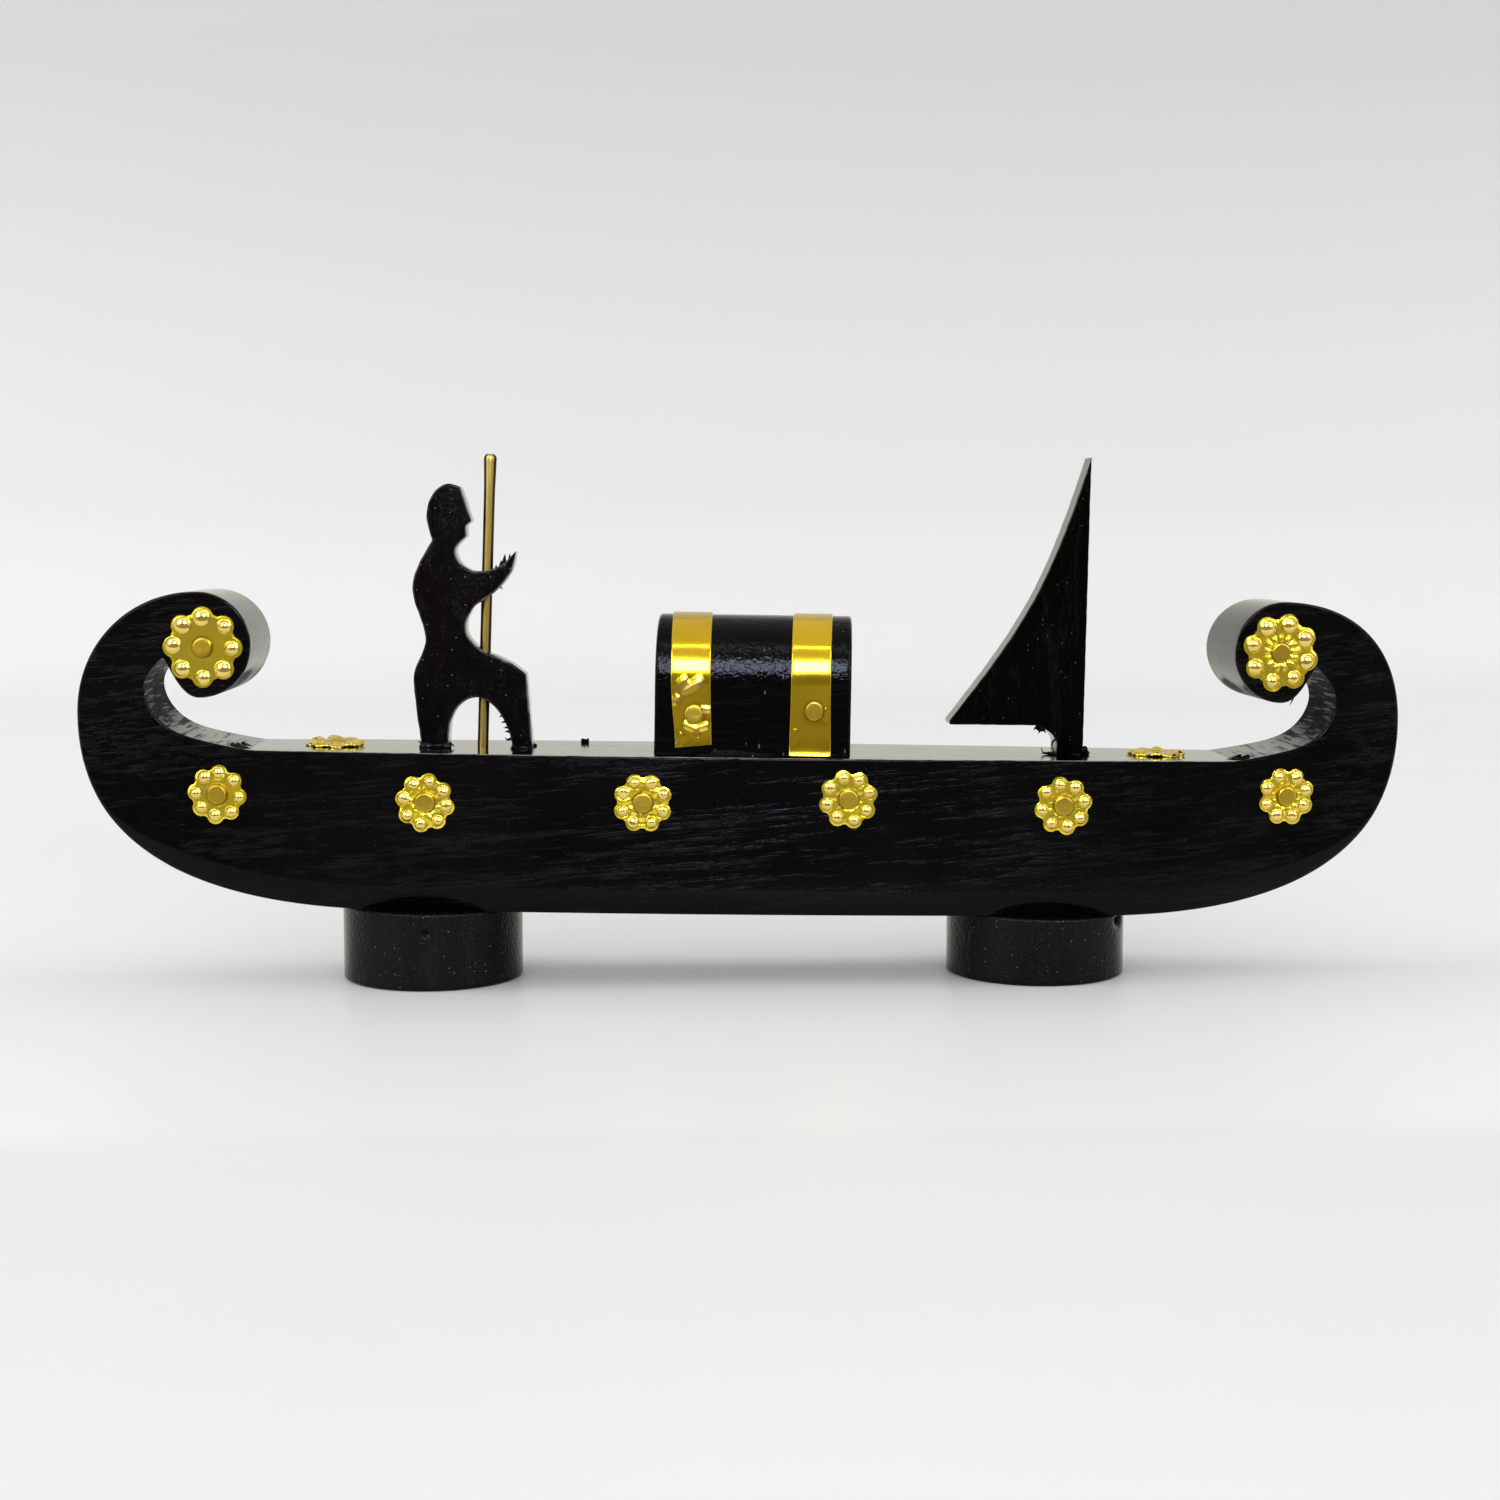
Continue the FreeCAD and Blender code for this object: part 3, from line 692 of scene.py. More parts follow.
# %% [markdown]
# ## Splinters and glue
# The boat is rough hand work: the saw has torn fibres from the wood, and glue has dried in lumps where
# pieces stand on the deck. A splinter is a round section that tapers along a curve. A lump is a ball with
# waves over it. Both are added to the mesh of the piece that they belong to, because they are part of it.

# %% Splinter and lump
splinter_rings = 14
splinter_sides = 8
lump_rows = 14
lump_sides = 28
lump_waviness = 0.35


def splinter(path, width):
    """A round section carried along a curve through the path's points, closed at its root and tip."""
    line = smooth_run(path, splinter_rings)
    share = np.linspace(0, 1, splinter_rings)
    taper = np.where(share > 0, 1 - share ** 1.5, 0) * width / 2
    along = np.gradient(line, axis=0)
    along /= np.linalg.norm(along, axis=1, keepdims=True)
    across = np.cross(along, (0, 1, 0))
    across /= np.linalg.norm(across, axis=1, keepdims=True)
    through = np.cross(along, across)
    angle = round_angles(splinter_sides)[None, :, None]
    ring = np.cos(angle) * across[:, None] + np.sin(angle) * through[:, None]
    points = line[:, None] + taper[:, None, None] * ring
    return points, [quads(splinter_rings, splinter_sides, wrap_cols=True)]


def lump(middle, size, seed):
    """A ball stretched to a size, with low waves over it."""
    random = np.random.default_rng(seed)
    tilt = np.linspace(0, math.pi, lump_rows)[:, None]
    angle = round_angles(lump_sides)[None]
    parts = np.sin(tilt) * np.cos(angle), np.sin(tilt) * np.sin(angle), np.cos(tilt)
    ball = np.stack(np.broadcast_arrays(*parts), -1)
    pushes = random.normal(0, 2.4, (3, 4))
    waves = np.mean(np.sin(ball @ pushes + random.uniform(0, 6, 4)), -1, keepdims=True)
    points = np.array(middle) + ball * np.array(size) * (1 + lump_waviness * waves)
    return points, [quads(lump_rows, lump_sides, wrap_cols=True)]


def rough_work(splinters, lumps, origin):
    """Splinters (path, width) and lumps (middle, size) from an origin on the boat, as sheets in metres."""
    made = [splinter(path, width) for path, width in splinters]
    made += [lump(middle, size, seed) for seed, (middle, size) in enumerate(lumps)]
    return [(aboard(points + np.array(origin)), faces) for points, faces in made]


print("splinters and lumps ready")

# %% [markdown]
# ## Hull
# The hull is sawn from one plank. Seen from the side, its outline runs along the keel, up the bow, over the
# scroll and back through the throat to the deck. It could be a filled outline with bevelled edges, but the
# sides also bulge in plan, so the faces need a grid. Here the outline is split at each notch, the throat's
# inmost point, into an outer run and an inner run. Each station pairs a point of one with a point of the
# other, and a closed ring passes through both: down the front face, round the outer rim, across the
# thickness, up the back face and across the deck. At the notch the two runs meet and the ring closes up by
# itself. The two ends were sawn by hand, so each scroll has its own radius, height and shoulder.

# %% Hull outline
hull_width = 38.0
hull_end_width = 18.6
bow_run = 69.3
bow_steepness = 0.68
bow_fullness = 0.65
keel_end = half_length - bow_run
deck_end = half_length - 38.3
throat_places = ((27.6, 2.1), (19.0, 6.0), (15.4, 14.2))
throat = [(half_length - inset, hull_depth + rise) for inset, rise in throat_places]
notch_offset = (7.9, -2.9)
lip_pull = (3.4, 0)
notch_pull = (2.2, 4.2)

sagitta = (hull_width - hull_end_width) / 2
side_radius = (half_length ** 2 + sagitta ** 2) / (2 * sagitta)


def half_width(x):
    """Half the hull's width at x: that of the middle, less what an arc of the side's radius has curved in."""
    return hull_width / 2 - side_radius + np.sqrt(side_radius ** 2 - x ** 2)


def scroll_marks(scroll):
    """Places that set an end's outline, drawn to the right: scroll middle, hull end and notch."""
    middle = np.array([half_length - scroll["inset"], hull_depth + scroll["rise"]])
    end = np.array([half_length, middle[1] + scroll["radius"] - scroll["inset"]])
    return middle, end, middle + notch_offset


def half_outline(scroll):
    """Half of the hull's outline, to the right: keel, bow, shoulder, scroll, lip, throat and deck."""
    middle, end, notch = scroll_marks(scroll)
    top = middle + (0, scroll["radius"])
    bottom = middle - (0, scroll["radius"])
    shoulder = scroll["fullness"] * scroll["inset"]
    runs = [
        np.linspace((0, 0), (keel_end, 0), 40),
        bezier((keel_end, 0), (keel_end + bow_fullness * bow_run, 0), end * (1, 1 - bow_steepness), end),
        bezier(end, end + (0, shoulder), top + (shoulder, 0), top),
        arc(middle, scroll["radius"], 90, 270),
        bezier(bottom, bottom + lip_pull, notch - notch_pull, notch),
        smooth_run([notch] + throat[::-1] + [(deck_end, hull_depth)]),
        np.linspace((deck_end, hull_depth), (0, hull_depth), 40),
    ]
    return np.vstack([run[:-1] for run in runs])


right_side = half_outline(scrolls["right"])
left_side = (half_outline(scrolls["left"]) * (-1, 1))[::-1]
outline_step = 0.4
sanded_reach = 0.35
hull_outline = soften(np.vstack([right_side, left_side]), outline_step, sanded_reach)
hull_normals = inward(hull_outline)
print("the hull's outline has", len(hull_outline), "points")
print("it reaches from", hull_outline.min(0).round(2), "to", hull_outline.max(0).round(2), "mm")

# %% [markdown]
# The stations follow from the outline. A few places that belong together are tied, such as the top of the
# scroll and the notch, and the stations between two ties are shared out evenly on both runs. Spacing them
# by length alone would be simpler, but the rings would then lie aslant in the scrolls, where the outer run
# is much longer.

# %% Hull rings
def nearest(outline, spot):
    """Number of the outline's point that is nearest to a spot."""
    return int(np.argmin(np.linalg.norm(outline - np.array(spot), axis=1)))


def run_between(start, stop, step):
    """Numbers of the outline's points from one to another, round the loop by steps of 1 or -1."""
    count = len(hull_outline)
    return (start + step * np.arange(step * (stop - start) % count + 1)) % count


def pick(values, numbers, places):
    """Values of the outline at fractional places along a run of its points."""
    return sampled(values[numbers], np.arange(len(numbers)), places)


keel_spot = nearest(hull_outline, (0, 0))
deck_spot = nearest(hull_outline, (0, hull_depth))
station_spacing = 0.7
notch_tie = (0.5, -0.8)


def half_stations(side):
    """Points and normals of the outer run, then of the inner run, at the stations from the middle to one
    notch. Matching places on both runs are tied together, and the stations between them are shared out
    evenly."""
    onwards = -1 if side == "left" else 1
    mirror = (onwards, 1)
    middle, end, notch = scroll_marks(scrolls[side])
    tip = nearest(hull_outline, notch * mirror)
    outer = run_between(keel_spot, tip, onwards)
    inner = run_between(deck_spot, tip, -onwards)
    outer_run = hull_outline[outer] * mirror
    inner_run = hull_outline[inner] * mirror
    ties = [
        ((keel_end, 0), (keel_end, hull_depth)),
        (end, throat[2]),
        (middle + (0, scrolls[side]["radius"]), notch + notch_tie),
    ]
    outer_ties = [0] + [nearest(outer_run, spot) for spot, _ in ties] + [len(outer) - 1]
    inner_ties = [0] + [nearest(inner_run, spot) for _, spot in ties] + [len(inner) - 1]
    outer_places = np.linspace(0, len(outer) - 1, int(len(outer) * outline_step / station_spacing))
    inner_places = np.interp(outer_places, outer_ties, inner_ties)
    runs = ((outer, outer_places), (inner, inner_places))
    return [pick(values, *run) for run in runs for values in (hull_outline, hull_normals)]


outer_points, outer_normals, inner_points, inner_normals = (
    np.vstack([left[:0:-1], right]) for left, right in zip(half_stations("left"), half_stations("right"))
)
print("hull stations:", len(outer_points))

# %% [markdown]
# The rims are not rounded alike. The keel's edges are planed to a broad, soft bilge, the bow's edges are
# eased by a millimetre or two, and the deck's edges are almost sharp. So the rounding is a pair of numbers
# at each station: how far it reaches into the face and how far into the thickness.

# %% Hull surface
def between(value, low, high):
    """0 below low, 1 above high, and a smooth rise between: three squares of the share less two cubes."""
    t = np.clip((value - low) / (high - low), 0, 1)
    return t * t * (3 - 2 * t)


bilge_height = 5.6
bilge_depth = 1.9
bilge_flatness = 1.6
eased_edge = 0.9
scroll_edge = 0.6
deck_edge = 0.45
rim_steps = np.linspace(0, math.pi / 2, 7)
face_steps = np.concatenate([[0.008, 0.03], np.linspace(0.09, 0.91, 10), [0.97, 0.992]])
across_steps = np.concatenate([[-0.985, -0.94], np.linspace(-0.85, 0.85, 11), [0.94, 0.985]])

scroll_reach = half_length - 16.5
bow_heights = (1.5, 24.0)
scroll_heights = (40.0, 66.0)
outer_x, outer_z = outer_points.T
up_the_bow = between(outer_z, *bow_heights)
over_the_top = between(outer_z, *scroll_heights)
inside_scroll = between(scroll_reach - np.abs(outer_x), 0, 4) * (outer_z > hull_depth)
from_tip = between(np.linalg.norm(outer_points - inner_points, axis=1), 0.0, 3.0)


def rounding(bilge):
    """How far the outer rim is rounded at each station: the bilge along the keel, blended into an eased
    edge up the bow, a finer one round the scroll, and the deck's edge at the notch."""
    edge = bilge + (eased_edge - bilge) * up_the_bow
    edge = edge * (1 - over_the_top) + scroll_edge * over_the_top
    edge = edge + (scroll_edge - edge) * inside_scroll
    return deck_edge + (edge - deck_edge) * from_tip


outer_reach = rounding(bilge_height)
outer_depth = rounding(bilge_depth)
inner_reach = np.full(len(inner_points), deck_edge)


def rim(points, normals, reach, depth, side, order, flatness=np.ones(1)):
    """A rounded rim on one side (-1 front, 1 back), from the face to the edge, or back: a quarter ellipse
    where its flatness is 1, and nearly a straight chamfer where that is 2."""
    turn = rim_steps[::order]
    inset = reach[:, None] * (1 - np.sin(turn) ** flatness[:, None])
    flat = points[:, None] + normals[:, None] * inset[..., None]
    through = half_width(flat[..., 0]) - depth[:, None] * (1 - np.abs(np.cos(turn)) ** flatness[:, None])
    return np.stack([flat[..., 0], side * through, flat[..., 1]], -1)


def face(first, last, side):
    """A side face: straight lines between two rims' last points, laid on the bulged side."""
    flat = first[:, None, ::2] + (last - first)[:, None, ::2] * face_steps[None, :, None]
    return np.stack([flat[..., 0], side * half_width(flat[..., 0]), flat[..., 1]], -1)


def edge_strip(first, last):
    """Straight lines across the thickness between two rims."""
    share = (across_steps[None, :, None] + 1) / 2
    return first[:, None] + (last - first)[:, None] * share


inner_front = rim(inner_points, inner_normals, inner_reach, inner_reach, -1, -1)
outer_flatness = 1 + (bilge_flatness - 1) * (1 - up_the_bow)
outer_front = rim(outer_points, outer_normals, outer_reach, outer_depth, -1, 1, outer_flatness)
outer_back = rim(outer_points, outer_normals, outer_reach, outer_depth, 1, -1, outer_flatness)
inner_back = rim(inner_points, inner_normals, inner_reach, inner_reach, 1, 1)
bands = {
    "inner_front": inner_front,
    "front_face": face(inner_front[:, -1], outer_front[:, 0], -1),
    "outer_front": outer_front,
    "outer_strip": edge_strip(outer_front[:, -1], outer_back[:, 0]),
    "outer_back": outer_back,
    "back_face": face(outer_back[:, -1], inner_back[:, 0], 1),
    "inner_back": inner_back,
    "inner_strip": edge_strip(inner_back[:, -1], inner_front[:, 0]),
}
hull_grid = np.concatenate(list(bands.values()), axis=1)
print("the hull's grid is", hull_grid.shape[0], "by", hull_grid.shape[1], "points")

# %% [markdown]
# The saw left its teeth in the throats and under the scrolls' lips, the front rims of the deck and scrolls
# are painted pale, for wear and as a painted highlight, and the back rims do not shine. Each of these is a
# mark: a value at every point of the grid, which the lacquer reads. Painting a texture would do it too, but
# marks need no unwrapping and move with the shape.

# %% Hull marks
# Pale rim profile across the rounding: wear and a painted highlight.
hull_rim_wear_and_highlight = np.array([0.6, 1.0, 0.7, 0.0, 0.0, 0.0, 0.0])
scroll_wear_and_highlight = 0.5
lip_height = 19.0
inner_lengths = lengths_along(inner_points)
middle_station = np.argmin(np.abs(inner_points[:, 0]))
inner_run_length = np.abs(inner_lengths - inner_lengths[middle_station])
from_deck = np.abs(inner_points[:, 0]) - deck_end
up_throat = inner_points[:, 1] - hull_depth
in_throat = between(from_deck, -1.0, 2.0) * (0.2 + 0.8 * between(up_throat, 0.5, 10.0))
under_lip = between(hull_depth + lip_height - outer_z, 0, 3) * inside_scroll
along_deck = between(-from_deck, 0.0, 2.0)
along_scroll = scroll_wear_and_highlight * inside_scroll
marked_bands = {
    "sawn": {
        "outer_strip": under_lip[:, None],
        "inner_back": in_throat[:, None],
        "inner_strip": in_throat[:, None],
    },
    "dull": {"outer_back": 1, "inner_back": 1},
    "wear_and_highlight": {
        "inner_front": along_deck[:, None] * hull_rim_wear_and_highlight,
        "outer_front": along_scroll[:, None] * hull_rim_wear_and_highlight[::-1],
    },
}


def over_bands(values):
    """A mark over the hull's whole grid: the given values on some bands, and 0 on the others."""
    columns = [np.zeros(band.shape[:2]) + values.get(name, 0) for name, band in bands.items()]
    return np.concatenate(columns, axis=1)


hull_marks = {name: over_bands(values) for name, values in marked_bands.items()}
hull_marks["run"] = np.broadcast_to(inner_run_length[:, None] * MM, hull_grid.shape[:2])
hull_faces = quads(*hull_grid.shape[:2], wrap_cols=True)
torn = [
    ([(125.4, -9.8, 14.8), (125.0, -10.0, 13.8), (124.3, -10.2, 12.5)], 0.5),
    ([(-115.2, -14.6, 1.5), (-112.6, -15.0, 0.75), (-110.2, -15.2, 0.45)], 1.0),
    ([(-114.4, -12.0, 1.3), (-111.0, -12.4, 0.35)], 0.9),
    ([(-113.8, -8.6, 1.2), (-110.8, -9.0, 0.3)], 0.8),
    ([(114.6, -14.8, 1.4), (111.6, -15.2, 0.7), (108.8, -15.0, 0.5)], 1.1),
    ([(113.8, -15.8, 1.2), (110.6, -16.0, 0.9), (109.0, -15.4, 1.1)], 0.7),
    ([(113.6, -11.0, 1.1), (110.0, -11.4, 0.35)], 0.9),
]
print("hull marks:", list(hull_marks), "and", len(torn), "torn splinters")

# %% [markdown]
# ## Holes
# A hole for a stick of incense is bored into each end of the deck, and a socket for the pole beside the
# boatman. The pole's bore goes on up through the boatman's thigh and forearm. A round bar is cut out of the
# plank by a Boolean, as a drill would do it; the bar for the pole leans as the pole does and is a little
# wider.

# %% Bores and the finished hull
figure_x = -0.4126 * half_length
pole_foot_x = figure_x + 1.9
pole_lean = math.radians(1.2)
pole_radius = 1.25
pole_clearance = 0.04
pole_height = 67.0
socket_depth = 8.0
stick_hole = 1.2
stick_depth = 14.0
above_deck = 1.0
bar_sides = 32


def along_pole(x, y, z):
    """Points measured across and up the pole's leaning axis, set on the table."""
    turned_x = pole_foot_x + x * math.cos(pole_lean) + z * math.sin(pole_lean)
    turned_z = hull_depth - x * math.sin(pole_lean) + z * math.cos(pole_lean)
    return aboard(np.stack([turned_x, y, turned_z], -1))


def bar(radius, low, high):
    """A closed round bar: two rings, each with a ring drawn in to a point behind it. Gives x, y and z."""
    angle = round_angles(bar_sides)
    share = radius * np.array([0, 1, 1, 0])[:, None]
    height = np.repeat(np.array([low, low, high, high])[:, None], bar_sides, 1)
    return share * np.cos(angle), share * np.sin(angle), height


BAR_FACES = [quads(4, bar_sides, wrap_cols=True)]
pole_bit = (along_pole(*bar(pole_radius + pole_clearance, -socket_depth, pole_height)), BAR_FACES)
bits = [pole_bit]
for node in ("deck_rosette_left", "deck_rosette_right"):
    spot = (level_middle(node)[0], 0, hull_depth)
    bits.append((aboard(np.stack(bar(stick_hole, -stick_depth, above_deck), -1) + spot), BAR_FACES))
dress(
    "lacquered_hull", [(aboard(hull_grid), [hull_faces])], hull_lacquer, "black_lacquer", "hull",
    marks=hull_marks, bits=bits, rough=rough_work(torn, [], (0, 0, hull_depth)),
)

# %% [markdown]
# ## Feet
# The feet are discs turned on a lathe and sawn off along the leaning keel. A lathe shape is a profile
# carried round a circle. Here the profile's upper half rides on the sloping saw cut, so one grid makes both
# the round and the cut.

# %% Feet
flaws = {"left": (-90, 0.76, 1.1, 0.7, 0.7), "right": (-31, 0.9, 1.9, 1.5, 1.1)}
base_break = 0.8
top_break = 0.6
cap_share = 0.6
wall_rows = 40
foot_sides = 384
out_of_round = 0.0025


def turned_foot(side):
    """A disc: profile points (radius, height as a share of the saw cut, lift) carried round the foot's
    middle. A flaw, by its angle, share of the height, width, height and depth, is a bell-shaped dent,
    marked as dull."""
    low, high = foot_boxes[side]
    middle = (low + high) / 2
    radius = (high[0] - low[0]) / 2
    quarter = np.linspace(0, math.pi / 2, 6)
    ring_radius = np.concatenate([
        [0, radius * cap_share], radius - base_break * (1 - np.sin(quarter)),
        np.full(wall_rows, radius), radius - top_break * (1 - np.cos(quarter)), [radius * cap_share, 0],
    ])
    share = np.concatenate([np.zeros(8), np.linspace(0.04, 0.96, wall_rows), np.ones(8)])[:, None]
    lift = np.concatenate([
        [0, 0], base_break * (1 - np.cos(quarter)),
        np.zeros(wall_rows), top_break * (np.sin(quarter) - 1), [0, 0],
    ])
    angle = round_angles(foot_sides)[None]
    flaw_angle, flaw_share, flaw_width, flaw_height, flaw_depth = flaws[side]
    sideways = radius * np.sin((angle - math.radians(flaw_angle)) / 2) * 2 / flaw_width
    upwards = (share - flaw_share) * keel_middle / flaw_height
    dent = np.exp(-sideways ** 2 - upwards ** 2) * (ring_radius[:, None] > radius - 1)
    reach = ring_radius[:, None] * (1 - out_of_round * (1 + np.sin(2 * angle + 1.0))) - flaw_depth * dent
    x = middle[0] + reach * np.cos(angle)
    y = middle[1] + reach * np.sin(angle)
    z = share * (keel_middle - keel_slope * x) + lift[:, None]
    points = np.stack([x, y, z], -1) * MM
    return (points, [quads(*x.shape, wrap_cols=True)]), np.clip(1.4 * dent, 0, 1)


for side in foot_boxes:
    foot_sheet, foot_flaw = turned_foot(side)
    marks = {"dull": foot_flaw}
    dress(f"turned_foot_{side}", [foot_sheet], foot_stain, "foot_lacquer", f"foot_{side}", marks=marks)

# %% [markdown]
# ## Cabin
# The cabin is a block with a half-round roof. It stands almost straight, but its ends were sawn off askew.
# Its section is an outline like a board's, only longer, so the same board helper makes it: the outline lies
# across the boat and the thickness runs along it. Sliding each slice along by its distance from the middle
# skews the ends.

# %% Cabin
cabin_length = 44.2
cabin_depth = 30.0
cabin_wall = 16.3
cabin_turn = -0.7
cabin_end_turn = -4.1
cabin_x = 2.35
cabin_side = cabin_depth / 2
cabin_edge = 0.9
ridge_height = 0.16
glue_height = 1.5
glue_width = 3.2
glue_rows = 90
glue_columns = 32


def on_cabin(points, cross_turn=cabin_turn):
    """From the cabin's own axes to the level boat. What crosses the cabin runs at cross_turn degrees."""
    x, y, z = np.moveaxis(points, -1, 0)
    turn = math.radians(cabin_turn)
    slid = x - y * math.tan(math.radians(cross_turn) - turn)
    turned_x = cabin_x + slid * math.cos(turn) - y * math.sin(turn)
    turned_y = slid * math.sin(turn) + y * math.cos(turn)
    return np.stack([turned_x, turned_y, z + hull_depth], -1)


cabin_section = np.vstack([
    np.linspace((cabin_side, 0), (cabin_side, cabin_wall), 20)[:-1],
    arc((0, cabin_wall), cabin_side, 0, 180, 80)[:-1],
    np.linspace((-cabin_side, cabin_wall), (-cabin_side, 0), 20)[:-1],
    np.linspace((-cabin_side, 0), (cabin_side, 0), 20)[:-1],
])
section_points, cabin_faces = board(soften(cabin_section, 0.4, 0.25), cabin_length, cabin_edge)
cabin_points = aboard(on_cabin(section_points[..., [1, 0, 2]], cabin_end_turn))


def glue_ridges(start, stop):
    """Glue brushed along the front of the cabin's base: it falls away from the wall in wandering ridges."""
    x = np.linspace(start, stop, glue_rows)[:, None]
    t = np.linspace(0, 1, glue_columns)[None]
    ends = np.sin(math.pi * (x - start) / (stop - start)) ** 0.5
    wander = 0.8 * np.sin(x / 2.3) + 0.5 * np.sin(x / 0.9 + 1.0)
    ridges = ridge_height * np.sin(8 * math.pi * t + wander) * (1 - t ** 3)
    height = ends * (glue_height * (1 - t) ** 1.4 + ridges) - 0.12
    y = 0.4 - cabin_side - glue_width * t * (0.6 + 0.4 * ends)
    top = np.stack(np.broadcast_arrays(x, y, height), -1)
    under = np.stack(np.broadcast_arrays(x, top[:, [-1, 0], 1], np.full((1, 2), -0.6)), -1)
    rings = np.concatenate([top, under], 1)
    return aboard(rings + (0, 0, hull_depth)), tube(*rings.shape[:2])


cabin_sheets = [(cabin_points, cabin_faces), glue_ridges(-13.0, 8.0)]
dress("lacquered_cabin", cabin_sheets, cabin_lacquer, "black_lacquer", "cabin")

# %% [markdown]
# ## Straps
# Two thin brass strips are bent over the cabin and nailed through their ends. A strip is a flat section
# carried along the roof's line. Its outer corners are bevelled so that they catch the light. Round each
# nail the sheet is dimpled, and the left strip is crumpled near its nail, as if a hammer had slipped: each
# fold is a small tent whose two flat flanks mirror different parts of the room.

# %% Straps
strap_width = 9.0
strap_thickness = 0.5
strap_bevel = 0.18
strap_nail_offset = 0.8
strap_columns = 33
strap_rows = 320
end_reach = 9.0
dimple_depth = 0.12
dimple_reach = 2.6
dimple_ring = 2.25
dimple_ring_width = 0.28
curl_reach = 1.6
slant_reach = 2.0
least_strap = 0.1
straps = {
    "left": {"x": 7.7 - cabin_length / 2, "turn": -2.8, "end": 2.2, "nail": 9.4},
    "right": {"x": cabin_length / 2 - 8.9, "turn": -4.9, "end": 0.4, "nail": 10.4},
}


def strap_line(end_above_deck):
    """The roof's line from a strap's front end to its back end: places (y, z), outward normals, lengths."""
    line = np.vstack([
        np.linspace((-cabin_side, end_above_deck), (-cabin_side, cabin_wall), 40)[:-1],
        arc((0, cabin_wall), cabin_side, 180, 0, 120),
        np.linspace((cabin_side, cabin_wall), (cabin_side, end_above_deck), 40)[1:],
    ])
    along = lengths_along(line)
    places = np.linspace(0, along[-1], strap_rows)
    even = sampled(line, along, places)
    tangent = np.gradient(even, axis=0)
    normal = np.stack([-tangent[:, 1], tangent[:, 0]], -1)
    return even, normal / np.linalg.norm(normal, axis=1, keepdims=True), places


def ridge(across, along, fold):
    """A fold in sheet: a tent along a line between two places (across, along), highest halfway, and falling
    straight to nothing at its reach."""
    start_across, start_along, stop_across, stop_along, reach, height = fold
    run_across = stop_across - start_across
    run_along = stop_along - start_along
    share = (across - start_across) * run_across + (along - start_along) * run_along
    share = np.clip(share / (run_across ** 2 + run_along ** 2), 0, 1)
    away = np.hypot(across - start_across - share * run_across, along - start_along - share * run_along)
    return height * (1 - (2 * share - 1) ** 4) * np.maximum(0, 1 - away / reach)


def bent_strap(x, turn, end, nail, folds, taper, shift, slant, curl):
    """A strip over the cabin, folded and dimpled round its nail. Its front end may taper, shift sideways,
    be cut off on a slant and curl away from the wall. Marks rings of painted shade round the nails, and
    rubbed folds."""
    line, normal, lengths = strap_line(end)
    along = lengths[:, None]
    half = strap_width / 2
    top = np.linspace(-half + strap_bevel, half - strap_bevel, strap_columns)
    across = np.concatenate([[-half, -half], top, [half, half]])[None]
    shoulder = strap_thickness - strap_bevel
    lift = np.concatenate([[0, shoulder], np.full(strap_columns, strap_thickness), [shoulder, 0]])[None]
    near_end = np.exp(-(along / end_reach) ** 2)
    sideways = across * (1 - taper * near_end) + shift * near_end
    raised = sum(ridge(across, along, fold) for fold in folds)
    height = lift + raised
    rings = np.zeros_like(height)
    for nail_place in (nail - end, lengths[-1] - nail + end):
        away = np.hypot(across - strap_nail_offset, along - nail_place)
        height -= dimple_depth * np.exp(-(away / dimple_reach) ** 4)
        rings += np.exp(-((away - dimple_ring) / dimple_ring_width) ** 2)
    height = np.where(lift > 0, np.maximum(height, least_strap), 0) + curl * np.exp(-along / curl_reach)
    y = line[:, :1] + normal[:, :1] * height
    z = line[:, 1:] + normal[:, 1:] * height + slant * across * np.exp(-along / slant_reach)
    points = np.stack([x + sideways, y, z], -1)
    # Painted shade in the rings round the nail dimples.
    marks = {"crease": rings, "bead": between(raised, 0.06, 0.3)}
    return (aboard(on_cabin(points, turn)), tube(*sideways.shape)), marks


# Each fold runs from one place (across, along) to another, and has a reach and a height.
left_folds = [
    (-2.8, 11.6, 3.0, 15.0, 1.6, 0.36), (-0.6, 15.2, -3.8, 13.2, 1.3, 0.22),
    (-4.4, 9.4, -2.4, 11.4, 1.5, 0.28), (1.6, 8.5, 4.6, 8.2, 1.0, 0.3),
    (-2.4, 5.2, 0.4, 3.9, 1.2, 0.28), (0.2, 3.8, 4.2, 4.9, 1.2, 0.28),
    (0.1, 4.2, 1.4, 1.8, 0.9, 0.18), (-4.4, 0.8, -2.6, 3.2, 1.5, 0.18),
    (-4.2, 27.2, 4.2, 27.8, 0.5, 0.06),
]
right_folds = [
    (-4.0, 2.4, -3.2, 6.2, 1.1, 0.16), (-3.9, 29.8, -0.7, 28.4, 0.7, 0.14),
    (2.8, 8.2, 3.4, 11.0, 0.6, 0.2), (3.0, 1.6, 3.4, 7.4, 1.0, 0.06),
]
strap_finish = {
    "left": {"folds": left_folds, "taper": 0.08, "shift": 0.8, "slant": 0.09, "curl": 0.1},
    "right": {"folds": right_folds, "taper": -0.05, "shift": 0.0, "slant": 0.0, "curl": 0.45},
}
for side, strap in straps.items():
    sheet, marks = bent_strap(**strap, **strap_finish[side])
    dress(f"bent_strap_{side}", [sheet], strap_brass, "brass", f"strap_{side}", crease=50, marks=marks)

# %% [markdown]
# ## Rosettes
# Each rosette is a scalloped sheet of brass with a bead punched up in every petal. A punch presses soft
# sheet, so the whole thing is one height field: a flat plate, eight domes with a shallow ring round each,
# and the waves that hand work leaves. The grid is polar. Its rim is, in every direction, the farther of the
# plate's edge and the petals' circles. Each rosette has its own turn and its own seed, because no two were
# struck alike.

